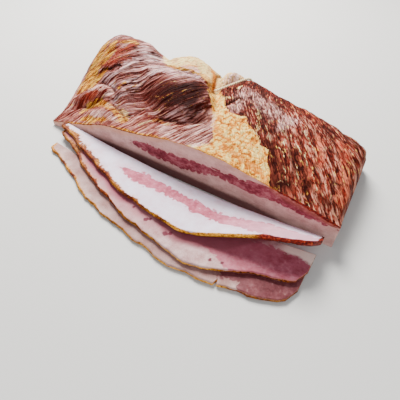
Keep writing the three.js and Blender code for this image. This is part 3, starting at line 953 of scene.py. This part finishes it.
def smoked_skin():
    """The outside of the slab, with lean, fat and the colours of the smoke."""
    material, tree, shader, place = new_paint("smoked_skin")
    in_front = kept(tree, "front")
    on_right = kept(tree, "right")

    def along_muscles(size, detail, right_size):
        """Noise stretched along the fibres of whichever muscle a place is on."""
        body_lines = grain(tree, course(tree, "body_course"), size, detail)
        front_lines = grain(tree, course(tree, "front_course"), size, detail)
        right_lines = grain(tree, course(tree, "right_course"), right_size, detail)
        return between(tree, on_right, between(tree, in_front, body_lines, front_lines), right_lines)

    fibre = along_muscles((22.0, 1.2, 5.0), 4.0, (6.0, 1.5, 4.0))
    bundle = along_muscles((30.0, 4.2, 12.0), 2.0, (16.0, 4.0, 12.0))
    seam = along_muscles((26.0, 2.3, 8.0), 1.0, (16.0, 3.2, 8.0))
    seam_line = thin_line(tree, seam, 0.045)
    furrow_shade = kept(tree, "furrow")

    blots = grain(tree, place, (3.6, 3.6, 3.6), 3.0, 0.6)

    def broken(name, low=0.35, high=0.62, blot=0.0):
        """A stroke of colour, broken up along the fibres and, if wanted, into blots."""
        rough = about(tree, fibre, 2.2)
        blotted = about(tree, blots, blot)
        share = plus(tree, kept(tree, name), plus(tree, rough, blotted))
        return levels(tree, share, low, high)

    hair = along_muscles((20.0, 1.3, 5.0), 1.0, (14.0, 1.8, 5.0))
    hair_line = thin_line(tree, hair, 0.035)
    # The same fibre noise raises the strands in the bump below, so the tone is a painted highlight on their
    # crests and painted shade between them
    light = plus(tree, fibre, about(tree, bundle, 0.6))
    # Painted shade and drying: the dusk strokes lower the tone of every colour
    light = minus(tree, light, times(tree, kept(tree, "shade_and_drying"), 0.11))
    # Painted highlight along the raised ribs of the right muscle
    light = plus(tree, light, times(tree, kept(tree, "rib"), 0.14))
    light = plus(tree, about(tree, light, 1.4), 0.508)
    lean = ramp(tree, light, [(0.32, MAROON), (0.42, RED_BROWN), (0.54, ROSE), (0.72, SHEEN_MAUVE)])
    dry = ramp(tree, light, [
        (0.32, CHOCOLATE), (0.46, (0.14, 0.011, 0.005)),
        (0.61, (0.28, 0.040, 0.020)), (0.78, (0.66, 0.27, 0.20)),
    ])
    # The painted sheen: the lean's colour lightened towards mauve and white
    painted_sheen = ramp(tree, light, [(0.30, MAROON), (0.40, ROSE), (0.54, SHEEN_MAUVE), (0.76, SHEEN_WHITE)])
    red = ramp(tree, light, [(0.32, MAROON), (0.47, (0.30, 0.026, 0.012)), (0.68, (0.64, 0.17, 0.10))])
    dark = ramp(tree, light, [
        (0.40, (0.014, 0.001, 0.001)), (0.52, (0.060, 0.005, 0.002)), (0.66, (0.28, 0.055, 0.034)),
    ])
    mottle = grain(tree, place, (1.6, 1.6, 1.6), 4.0, 0.6)
    spotted = plus(tree, light, about(tree, mottle, 0.9))
    gold = ramp(tree, spotted, [
        (0.33, (0.10, 0.016, 0.002)), (0.43, (0.42, 0.11, 0.008)),
        (0.53, (0.86, 0.34, 0.02)), (0.70, (1.0, 0.58, 0.10)),
    ])
    cream = ramp(tree, spotted, [
        (0.32, (0.40, 0.11, 0.02)), (0.47, (0.90, 0.46, 0.15)), (0.66, (1.0, 0.76, 0.40)),
    ])
    warm = times(tree, maths(tree, "MAXIMUM", in_front, on_right), 0.8)
    lean = blend(tree, on_right, lean, dry)
    calm = between(tree, on_right, 1.0, 0.7)
    low_share = between(tree, on_right, 0.25, -0.05)
    high_share = between(tree, on_right, 0.75, 1.25)
    # Painted sheen over the lean, weaker on the right muscle
    lean = tinted(tree, lean, broken("painted_sheen", low_share, high_share, 0.8), calm, painted_sheen)
    lean = blend(tree, broken("red"), lean, red)
    # Dried lean and painted shade: the dark strokes and the lobe's dark patch
    lean = blend(tree, broken("dark", 0.25, 0.85), lean, dark)
    lean = blend(tree, warm, lean, WARMTH, "MULTIPLY")
    under_gold = times(tree, levels(tree, kept(tree, "gold"), 0.2, 0.6), 0.7)
    lean = blend(tree, under_gold, lean, (0.34, 0.07, 0.012))
    lean = tinted(tree, lean, broken("gold", 0.25, 0.65, 1.8), 0.96, gold)
    lean = blend(tree, broken("cream"), lean, cream)
    # Dark lines between strands, in furrows and in cracks: painted shade in the grooves, in the lean's
    # darkest colours
    groove_shade_colour = blend(tree, in_front, CHOCOLATE, MAROON)
    lean = tinted(tree, lean, seam_line, 0.75, groove_shade_colour)
    lean = tinted(tree, lean, hair_line, 0.6, groove_shade_colour)
    lean = tinted(tree, lean, furrow_shade, 0.8, groove_shade_colour)

    crumbs = grain(tree, place, (1.3, 1.3, 1.3), 4.0, 0.6)
    patches = grain(tree, place, (11.0, 11.0, 11.0), 3.0)
    clots = grain(tree, place, (4.0, 4.0, 4.0), 2.0)
    lumps = minus(tree, times(tree, kept(tree, "pebble"), 0.55), 0.35)
    for part, weight in ((crumbs, 0.9), (patches, 0.9), (clots, 1.2)):
        swing = about(tree, part, weight, 0.4)
        lumps = plus(tree, lumps, swing)
    lumps = plus(tree, lumps, 0.36)
    lumps = plus(tree, about(tree, lumps, 1.5, 0.6), 0.6)
    fat = ramp(tree, lumps, [
        (0.22, (0.46, 0.12, 0.010)), (0.42, (0.80, 0.29, 0.024)),
        (0.60, (0.97, 0.43, 0.05)), (0.84, (1.0, 0.70, 0.21)),
    ])
    on_hump = minus(tree, kept(tree, "fat"), kept(tree, "wedge"), True)
    fat = tinted(tree, fat, on_hump, 0.38, (1.0, 0.86, 0.50))
    fat = tinted(tree, fat, broken("gold", 0.3, 0.9), 0.75, gold)
    fat = tinted(tree, fat, broken("orange", 0.3, 0.9), 0.7, (0.72, 0.20, 0.015))
    # Painted sheen on the fat as well
    fat = tinted(tree, fat, broken("painted_sheen", 0.3, 0.9), 0.75, painted_sheen)
    # Painted shade in the cracks of the fat
    fat = tinted(tree, fat, furrow_shade, 0.7, (0.16, 0.03, 0.008))

    edge = plus(tree, kept(tree, "fat"), about(tree, crumbs, 0.6))
    on_fat = levels(tree, edge, 0.4, 0.6)
    tree.links.new(blend(tree, on_fat, lean, fat), shader.inputs["Base Color"])
    dull = plus(tree, kept(tree, "dark"), times(tree, on_right, 0.6), True)
    gloss = minus(tree, dull, kept(tree, "painted_sheen"), True)
    tree.links.new(between(tree, on_fat, between(tree, gloss, 0.42, 0.8), 0.6), shader.inputs["Roughness"])
    lines = plus(tree, seam_line, hair_line)
    ridges = minus(tree, fibre, times(tree, lines, 0.35))
    fine = bump(tree, ridges, 1.6, 0.9)
    tree.links.new(bump(tree, crumbs, 0.6, 0.5, fine), shader.inputs["Normal"])
    shader.inputs["Specular IOR Level"].default_value = SKIN_SHINE
    return material


# %% [markdown]
# The cut is the same on the slab and on its slices: pale fat, a streak of lean, and a rim
# where the smoke went in. Only the tints differ with the light that each piece gets. The
# noise moves each border by a millimetre or two and breaks the lean into beads.


# %% Cut meat
CUT_SHINE = 0.14
UNDER_LIGHT = 0.1
UNDER_LIGHT_REACH = (1.0, 0.45, 0.3)
# The colour of the painted shade: at the face's foot, in the slit of the bottom slice and where the top
# slice shades the middle one
DEEP_SHADE = (0.13, 0.030, 0.032)
SPOT_COLOUR = (0.11, 0.005, 0.020)
HALO_COLOUR = (0.70, 0.29, 0.11)
SHADOWED_CRUST = (0.045, 0.006, 0.002)


def cut_meat(name, fat_colours, lean_colours, halo_reach, pale_colour, spots=()):
    """The paint of a cut: fat, lean inside the streak, and the smoked rim."""
    material, tree, shader, place = new_paint(name)
    broad = grain(tree, place, (9.0, 9.0, 5.0), 3.0)
    fine = grain(tree, place, (2.4, 2.4, 1.6), 4.0)
    specks = grain(tree, place, (0.9, 0.9, 0.9), 3.0)
    cells = {"Vector": place, "Scale": 0.14, "Randomness": 0.9}
    beads = add(tree, "TexVoronoi", cells, feature="DISTANCE_TO_EDGE")
    seam = levels(tree, beads.outputs["Distance"], 0.075, 0.0)

    def moved(field, reach, little):
        """A depth in millimetres with its zero moved about by noise."""
        coarse = about(tree, broad, reach)
        small = about(tree, fine, little)
        return plus(tree, field, plus(tree, coarse, small))

    fat_mix = mixture(tree, broad, 0.7, specks, 0.3)
    fat = ramp(tree, fat_mix, [(0.36, fat_colours[0]), (0.62, fat_colours[1])])
    lean_mix = mixture(tree, broad, 0.6, fine, 0.4)
    lean = ramp(tree, lean_mix, [(0.36, lean_colours[0]), (0.50, lean_colours[1]), (0.64, lean_colours[2])])
    marbling = levels(tree, fine, 0.64, 0.72)
    lean = tinted(tree, lean, marbling, 0.5, fat_colours[0])
    seam_share = times(tree, levels(tree, broad, 0.42, 0.6), 0.4)
    part_of_seam = times(tree, seam, seam_share)
    lean = blend(tree, part_of_seam, lean, lean_colours[2])
    notch = times(tree, levels(tree, beads.outputs["Distance"], 0.22, 0.0), 1.8)
    streak = minus(tree, plus(tree, moved(kept(tree, "streak"), 4.5, 3.5), 0.7), notch)
    inside = levels(tree, streak, -1.1, 0.0)
    blush = times(tree, levels(tree, streak, -5.0, 0.0), 0.22)
    colour = blend(tree, inside, blend(tree, blush, fat, lean_colours[2]), lean)
    # Painted shade inside its outline, with the border moved by noise
    painted_shade = levels(tree, moved(kept(tree, "shade_depth"), 3.0, 2.5), -0.4, 4.5)
    colour = tinted(tree, colour, painted_shade, 0.84, DEEP_SHADE)
    # Painted shade on the lower slices where the slice above shades them, and a pink blush at the right end
    # of the top slice
    colour = blend(tree, kept(tree, "shade_and_blush"), colour, lean_colours[1])
    colour = blend(tree, kept(tree, "pale"), colour, pale_colour)
    flat_place = add(tree, "VectorMath", {0: place, 1: (1, 1, 0)}, operation="MULTIPLY").outputs[0]
    ragged_spot = about(tree, fine, 3.0)
    for (x, y), radius in spots:
        middle = to_world((x, y, 0)) / MM * (1, 1, 0)
        away = add(tree, "VectorMath", {0: flat_place, 1: middle}, operation="DISTANCE").outputs["Value"]
        spot = levels(tree, plus(tree, away, ragged_spot), radius + 0.5, radius - 0.5)
        colour = tinted(tree, colour, spot, 0.95, SPOT_COLOUR)

    depth = moved(kept(tree, "rim"), 1.2, 1.6)
    smoke = levels(tree, minus(tree, depth, kept(tree, "red_rim")), 1.0, 0.7)
    halo = levels(tree, depth, halo_reach, 0.6)
    halo_share = between(tree, kept(tree, "brown"), 0.22, 0.48)
    colour = tinted(tree, colour, halo, halo_share, HALO_COLOUR)
    crag = grain(tree, place, (1.5, 1.5, 1.0), 3.0, 0.6)
    brown = ramp(tree, crag, [
        (0.38, (0.032, 0.003, 0.001)), (0.50, (0.15, 0.020, 0.002)),
        (0.62, (0.32, 0.065, 0.003)), (0.80, (0.60, 0.19, 0.012)),
    ])
    yellow = ramp(tree, crag, [
        (0.34, (0.16, 0.030, 0.003)), (0.43, (0.62, 0.22, 0.008)), (0.60, (1.0, 0.52, 0.05)),
    ])
    red = ramp(tree, crag, [
        (0.40, (0.05, 0.002, 0.001)), (0.54, (0.20, 0.007, 0.003)), (0.70, (0.52, 0.08, 0.02)),
    ])
    crust = blend(tree, kept(tree, "brown"), yellow, brown)
    crust = blend(tree, kept(tree, "red_rim"), crust, red)
    # Painted shade on the lower half of each slice's smoked rim
    crust = tinted(tree, crust, kept(tree, "low"), 0.75, SHADOWED_CRUST)
    colour = blend(tree, smoke, colour, crust)
    tree.links.new(colour, shader.inputs["Base Color"])
    tree.links.new(between(tree, inside, 0.6, 0.5), shader.inputs["Roughness"])
    relief_here = mixture(tree, fine, 0.6, specks, 0.4)
    tree.links.new(bump(tree, relief_here, 0.6, 0.5), shader.inputs["Normal"])
    shader.inputs["Specular IOR Level"].default_value = CUT_SHINE
    shader.inputs["Subsurface Weight"].default_value = UNDER_LIGHT
    shader.inputs["Subsurface Radius"].default_value = UNDER_LIGHT_REACH
    shader.inputs["Subsurface Scale"].default_value = 2.0 * MM
    return material


SHADED_FAT = ((0.52, 0.27, 0.24), (0.74, 0.44, 0.39))
SHADED_LEAN = ((0.12, 0.012, 0.020), (0.24, 0.038, 0.055), (0.44, 0.13, 0.15))
skin_paint = smoked_skin()
face_paint = cut_meat("cut_face", SHADED_FAT, SHADED_LEAN, 7.0, SHADED_FAT[1])
slab_meat = make_object("slab_meat", slab_data, [skin_paint, face_paint])
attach(slab_meat, "root")
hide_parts("slab")

# %% [markdown]
# ## The slices
#
# Each slice is a thin copy of the cut face, bent where it lies on the one below. The
# solids have the right outline and bend, and coarse facets, so a merged copy of each one
# is subdivided. The flat of a knife cut is never perfect, so the faces get waves of up to
# a fifth of a millimetre, and the front rim gets a ragged line. A short slit opens the
# front of the bottom slice. Where a slice lies under another one its paint is darker.

# %% Slices
BOTTOM_STREAK = [
    (96, -52), (110, -53), (130, -53), (170, -57), (186, -61), (191, -63), (196, -66), (199, -65),
    (205, -62), (208, -66), (211, -69), (224, -66), (240, -60), (250, -50), (250, -36), (226, -38),
    (206, -41), (184, -46), (150, -46), (110, -44),
]
MIDDLE_STREAK = [
    (40, -30), (70, -38), (80, -43), (87, -47), (93, -48.5), (99, -47), (112, -45), (140, -46),
    (153, -52), (158, -53), (168, -54), (176, -54), (184, -54), (191, -57), (199, -61), (206, -66),
    (232, -60), (250, -44), (242, -28), (234, -26), (226, -27), (218, -28), (207, -29), (197, -31),
    (180, -34), (160, -36), (110, -32), (40, -22),
]
TOP_STREAK = [
    (70, -23.5), (77, -20), (86, -20), (95, -18.5), (106, -20), (118, -21), (134, -22), (145, -23),
    (152, -23), (161, -24), (174, -25), (187, -22), (203, -17), (220, -17), (246, -12), (246, -24),
    (233, -27), (220, -32), (206, -34), (195, -32), (186, -33), (172, -34), (158, -33), (151, -34),
    (142, -30), (139, -31), (131, -30), (125, -30), (112, -29), (107, -31), (94, -30), (84, -29),
    (77, -26),
]
STREAKS = {"slice_bottom": BOTTOM_STREAK, "slice_middle": MIDDLE_STREAK, "slice_top": TOP_STREAK}
# Each dark spot of lean in the fat of the middle slice has its place and its radius
SPOTS = [
    ((124, -55), 2.0), ((144, -58), 2.2), ((127, -53), 1.2), ((147, -56), 1.4), ((108, -50), 1.2),
    ((183, -60), 1.3), ((191, -58), 1.2),
]
# How brown the smoked rim of each slice is, station by station, and yellow where it isn't
RIM_BROWN = {
    "slice_bottom": [(100, 0.7), (150, 0.3), (196, 0.1), (208, 1.0), (240, 1.0)],
    "slice_middle": [(110, 1.0), (160, 0.3), (183, 0.1), (196, 0.9), (240, 1.0)],
    "slice_top": [(110, 1.0), (175, 0.1), (250, 0.0)],
}
# How far the smoked rim reaches onto each slice at its left and right end, in millimetres
CRUST_LEFT = {"slice_bottom": 2.6, "slice_middle": 4.0, "slice_top": 5.4}
CRUST_RIGHT = {"slice_bottom": 0.6, "slice_middle": 0.6, "slice_top": 1.3}
SLIT = [(192, -64), (192.6, -67), (193.6, -72), (194, -76)]
SUBDIVISIONS = 3
FACET_ANGLE = math.radians(20)
SHAPE_ANGLE = math.radians(60)
# How far the shadow-dark lean reaches out from under the slice above, station by station
UNDER_TOP = [
    (0, 3), (60, 3), (76, 5), (95, 6), (108, 1), (128, 1), (140, 7), (155, 9), (170, 9), (188, 6),
    (200, -3), (215, -14), (250, -20),
]
WAVE = 0.12
RAGGED = 0.45
SLIT_WIDTH = 1.5
SLIT_DEPTH = 4.5
SLIT_REACH = 6.0

LIES_UNDER = {"slice_bottom": "slice_middle", "slice_middle": "slice_top"}
FRONTS = {}


def outline_of(points):
    """The back and front edge of a slice as two lines, read station by station."""
    stations = np.unique(points[:, 0].round(1))
    rows = [points[np.abs(points[:, 0] - x) < 0.06] for x in stations]
    back = [(r[r[:, 1].argmax(), 0], r[:, 1].max()) for r in rows]
    front = [(r[r[:, 1].argmin(), 0], r[:, 1].min()) for r in rows]
    level = [(r[0, 0], r[r[:, 1] < r[:, 1].min() + 0.3, 2].mean()) for r in rows]
    return np.array(back), np.array(front), np.array(level)


def uneven(points, height, broad, narrow, seed):
    """Broad noise up to a height, with narrow noise of half that height on it."""
    return height * noise(points, broad, seed) + 0.5 * height * noise(points, narrow, seed + 1)


def make_slice(node, material):
    """A slice from its solid: merged, subdivided, and waved a little."""
    mesh = bmesh.new()
    mesh.from_mesh(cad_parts[node].data)
    bmesh.ops.remove_doubles(mesh, verts=mesh.verts, dist=0.01 * MM)
    back, front, level = outline_of(to_ruler([vert.co for vert in mesh.verts]))
    bmesh.ops.join_triangles(
        mesh, faces=mesh.faces,
        angle_face_threshold=FACET_ANGLE, angle_shape_threshold=SHAPE_ANGLE,
    )
    bmesh.ops.recalc_face_normals(mesh, faces=mesh.faces)
    data = bpy.data.meshes.new(node + "_meat")
    mesh.to_mesh(data)
    mesh.free()
    made = make_object(node + "_meat", data, [material])
    rounder = made.modifiers.new("subdivide", "SUBSURF")
    rounder.subdivision_type = "SIMPLE"
    rounder.levels = rounder.render_levels = SUBDIVISIONS
    bpy.context.view_layer.update()
    rounded = made.evaluated_get(bpy.context.evaluated_depsgraph_get())
    fine_data = bpy.data.meshes.new_from_object(rounded)
    made.modifiers.clear()
    made.data = fine_data
    bpy.data.meshes.remove(data)

    points = to_ruler([vert.co for vert in fine_data.vertices])
    normals = np.array([vert.normal for vert in fine_data.vertices])
    wave = uneven(points, WAVE, (14.0, 9.0, 30.0), (4.0, 4.0, 30.0), 140)
    ragged = uneven(points, RAGGED, (4.0, 30.0, 30.0), (1.8, 30.0, 30.0), 142)
    gap = np.interp(points[:, 0], back[:, 0], back[:, 1]) - points[:, 1]
    front_gap = points[:, 1] - np.interp(points[:, 0], front[:, 0], front[:, 1])
    FRONTS[node] = front
    at_rim = ease(front_gap, 2.0, 0.0)
    moved = points + normals * wave[:, None] * (1 - at_rim)[:, None]
    moved[:, 1] += ragged * at_rim
    in_slit = np.zeros(len(points))
    if node == "slice_bottom":
        in_slit = stroke(points, SLIT, SLIT_WIDTH, 1.0)
        moved[:, 1] += SLIT_DEPTH * in_slit * ease(front_gap, SLIT_REACH, 0.0)
    moved[:, 2] = np.maximum(moved[:, 2], 0.0)
    for vert, place in zip(fine_data.vertices, to_world(moved)):
        vert.co = place
    end_gap = np.minimum(points[:, 0] - front[0, 0], front[-1, 0] - points[:, 0])
    streak = depth_in(points, STREAKS[node])
    shade_and_blush = np.zeros(len(points))
    pale = np.zeros(len(points))
    shade_depth = np.full(len(points), -9.0)
    if node == "slice_top":
        # The top slice's right end blushes pink with its lean colour
        shade_and_blush = 0.10 * ease(points[:, 0] + 6 * noise(points, 12.0, 146), 185.0, 215.0)
        pale = 0.5 * ease(points[:, 0] + 6 * noise(points, 12.0, 148), 160.0, 222.0)
        pale = pale * ease(streak, -2.0, 1.0)
    else:
        over = FRONTS[LIES_UNDER[node]]
        bare = np.interp(points[:, 0], over[:, 0], over[:, 1]) - points[:, 1]
        # Painted shade on the lower slices: some everywhere, much more within a few millimetres of the
        # slice above, none at the right end
        shade_and_blush = (0.12 + 0.42 * ease(bare, 13.0, 1.0)) * ease(points[:, 0], 228.0, 205.0)
        # More painted shade at the left of the middle slice, under the top slice's overhang
        shade_and_blush += 0.22 * ease(points[:, 0], 150.0, 105.0) * (node == "slice_middle")
    # The slit of the bottom slice is painted dark: painted shade inside the gap
    if node == "slice_bottom":
        shade_depth = 6.0 * in_slit - 3.0
    # On the middle slice, painted shade over the strip that reaches out from under the top slice
    if node == "slice_middle":
        shade_depth = np.interp(points[:, 0], *np.array(UNDER_TOP).T) - bare
        # The white fat beyond the streak at the middle slice's right end, painted paler still: painted
        # light where the top slice shades it
        pale = 0.75 * ease(points[:, 0], 216.0, 226.0) * ease(streak, 0.5, -1.5)
    wider = CRUST_LEFT[node] - CRUST_RIGHT[node]
    crust_width = CRUST_RIGHT[node] + wider * ease(points[:, 0], 150.0, 10.0)
    crust_width *= 1 + 0.5 * noise(points, 7.0, 145)
    keep(fine_data, "streak", streak)
    keep(fine_data, "shade_depth", shade_depth)
    from_edge = np.minimum(front_gap, end_gap + 0.4) / crust_width
    keep(fine_data, "rim", np.minimum(from_edge, gap + 1.5))
    brown = np.interp(points[:, 0], *np.array(RIM_BROWN[node]).T)
    keep(fine_data, "brown", np.clip(brown + 0.5 * noise(points, 9.0, 147), 0, 1))
    height = points[:, 2] - np.interp(points[:, 0], level[:, 0], level[:, 1])
    # How low on its rim each point of a slice lies, for the painted shade there
    keep(fine_data, "low", ease(height, 0.4, -1.2))
    keep(fine_data, "red_rim", ease(points[:, 0], 198.0, 208.0) * (node == "slice_top"))
    keep(fine_data, "shade_and_blush", shade_and_blush)
    keep(fine_data, "pale", pale)
    fine_data.shade_smooth()
    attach(made, "root")
    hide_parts(node)
    print(node, len(fine_data.vertices), "points")
    return made


# The three slices share one cut, painted as lit and shaded copies: lighter on the top slice, darker on the
# slices below it
top_paint = cut_meat(
    "cut_top", ((0.68, 0.52, 0.62), (0.76, 0.68, 0.80)),
    ((0.28, 0.028, 0.062), (0.44, 0.075, 0.13), (0.58, 0.17, 0.24)), 1.8, (0.76, 0.54, 0.63),
)
middle_paint = cut_meat(
    "cut_middle", ((0.36, 0.20, 0.19), (0.62, 0.44, 0.42)),
    ((0.26, 0.044, 0.066), (0.36, 0.085, 0.12), (0.46, 0.15, 0.19)), 1.8, (0.92, 0.72, 0.62), SPOTS,
)
bottom_paint = cut_meat(
    "cut_bottom", ((0.36, 0.20, 0.17), (0.62, 0.43, 0.39)),
    ((0.09, 0.014, 0.018), (0.145, 0.033, 0.039), (0.23, 0.075, 0.082)), 1.8, (0.92, 0.72, 0.62),
)
make_slice("slice_top", top_paint)
make_slice("slice_middle", middle_paint)
make_slice("slice_bottom", bottom_paint)

# %% [markdown]
# ## The twine
#
# Butcher's twine is three strands of cotton laid together. Its solid is one smooth cord.
# Each strand here is a thin tube that winds round the middle line of that cord, which is
# read back from the solid itself: the middle of each of its rings of points.

# %% The middle line of the twine
TWINE_SIDES = 8


def middle_line(node):
    """The middle of each ring of points of a cord, walked from one end to the other."""
    mesh = bmesh.new()
    mesh.from_mesh(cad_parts[node].data)
    bmesh.ops.remove_doubles(mesh, verts=mesh.verts, dist=0.01 * MM)
    bmesh.ops.dissolve_limit(mesh, angle_limit=math.radians(0.5), verts=mesh.verts, edges=mesh.edges)
    end = next(face for face in mesh.faces if len(face.verts) == TWINE_SIDES)
    ring = set(end.verts)
    seen = set(ring)
    middles = []
    while ring:
        middles.append(sum((vert.co for vert in ring), Vector()) / len(ring))
        ring = {edge.other_vert(vert) for vert in ring for edge in vert.link_edges} - seen
        seen |= ring
    mesh.free()
    return np.array(middles)


twine_line = middle_line("twine")

# %% Twine
STRANDS = 3
STRAND_SIDES = 8
STRAND_RADIUS = 0.62
STRAND_OFFSET = 0.58
LAY = 9.0
TWINE_STEP = 0.7
TWINE_SMOOTHING = 12
SIDEWAYS = (0.0, 1.0, 0.3)

gaps = np.linalg.norm(np.diff(twine_line, axis=0), axis=1) / MM
reach = np.concatenate([[0], np.cumsum(gaps)])
print("twine:", len(twine_line), "rings,", reach[-1].round(1), "mm")
steps = np.linspace(0, reach[-1], int(reach[-1] / TWINE_STEP))
line = np.stack([np.interp(steps, reach, twine_line[:, axis]) for axis in range(3)], axis=1)
for axis in range(3):
    smooth_along(line[:, axis], 0, TWINE_SMOOTHING)
ahead = np.gradient(line, axis=0)
ahead /= np.linalg.norm(ahead, axis=1)[:, None]
side = np.cross(ahead, SIDEWAYS)
side /= np.linalg.norm(side, axis=1)[:, None]
over = np.cross(side, ahead)


def ring_places(index, strand):
    """The points of one ring of one strand, at one step along the twine."""
    turn = 2 * math.pi * (steps[index] / LAY + strand / STRANDS)
    outwards = math.cos(turn) * side[index] + math.sin(turn) * over[index]
    middle = line[index] + STRAND_OFFSET * MM * outwards
    for corner in range(STRAND_SIDES):
        angle = 2 * math.pi * corner / STRAND_SIDES
        outwards = math.cos(angle) * side[index] + math.sin(angle) * over[index]
        yield middle + STRAND_RADIUS * MM * outwards


twine_mesh = bmesh.new()
for strand in range(STRANDS):
    ring = bmesh.ops.create_circle(twine_mesh, segments=STRAND_SIDES, radius=STRAND_RADIUS * MM)["verts"]
    edges = [edge for edge in twine_mesh.edges if edge.verts[0] in ring and edge.verts[1] in ring]
    bmesh.ops.contextual_create(twine_mesh, geom=edges)
    for index in range(len(steps)):
        if index:
            known = {vert: spot for spot, vert in enumerate(ring)}
            drawn = bmesh.ops.extrude_edge_only(twine_mesh, edges=edges)["geom"]
            fresh = {item for item in drawn if isinstance(item, bmesh.types.BMVert)}
            edges = [
                item for item in drawn
                if isinstance(item, bmesh.types.BMEdge) and set(item.verts) <= fresh
            ]
            following = [None] * STRAND_SIDES
            for vert in fresh:
                parent = next(e.other_vert(vert) for e in vert.link_edges if e.other_vert(vert) in known)
                following[known[parent]] = vert
            ring = following
        for vert, place in zip(ring, ring_places(index, strand)):
            vert.co = place
    bmesh.ops.contextual_create(twine_mesh, geom=edges)
bmesh.ops.recalc_face_normals(twine_mesh, faces=twine_mesh.faces)
for face in twine_mesh.faces:
    face.smooth = len(face.verts) == 4
open_edges = sum(not edge.is_manifold for edge in twine_mesh.edges)
print("twine:", len(twine_mesh.faces), "faces,", open_edges, "open edges")
twine_data = bpy.data.meshes.new("twine_strands")
twine_mesh.to_mesh(twine_data)
twine_mesh.free()


def cotton():
    """Pale cotton that took up some fat and smoke."""
    material, tree, shader, place = new_paint("cotton")
    fibres = grain(tree, place, (0.35, 0.35, 1.6), 4.0)
    stain = grain(tree, place, (6.0, 6.0, 6.0), 2.0)
    colour = ramp(tree, fibres, [
        (0.3, (0.58, 0.36, 0.15)), (0.50, (0.92, 0.72, 0.42)), (0.70, (1.0, 0.88, 0.62)),
    ])
    soaked = levels(tree, stain, 0.5, 0.75)
    colour = tinted(tree, colour, soaked, 0.6, (0.70, 0.45, 0.20))
    tree.links.new(colour, shader.inputs["Base Color"])
    tree.links.new(bump(tree, fibres, 0.15, 0.6), shader.inputs["Normal"])
    shader.inputs["Roughness"].default_value = 0.85
    return material


twine_strands = make_object("twine_strands", twine_data, [cotton()])
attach(twine_strands, "root")
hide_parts("twine")
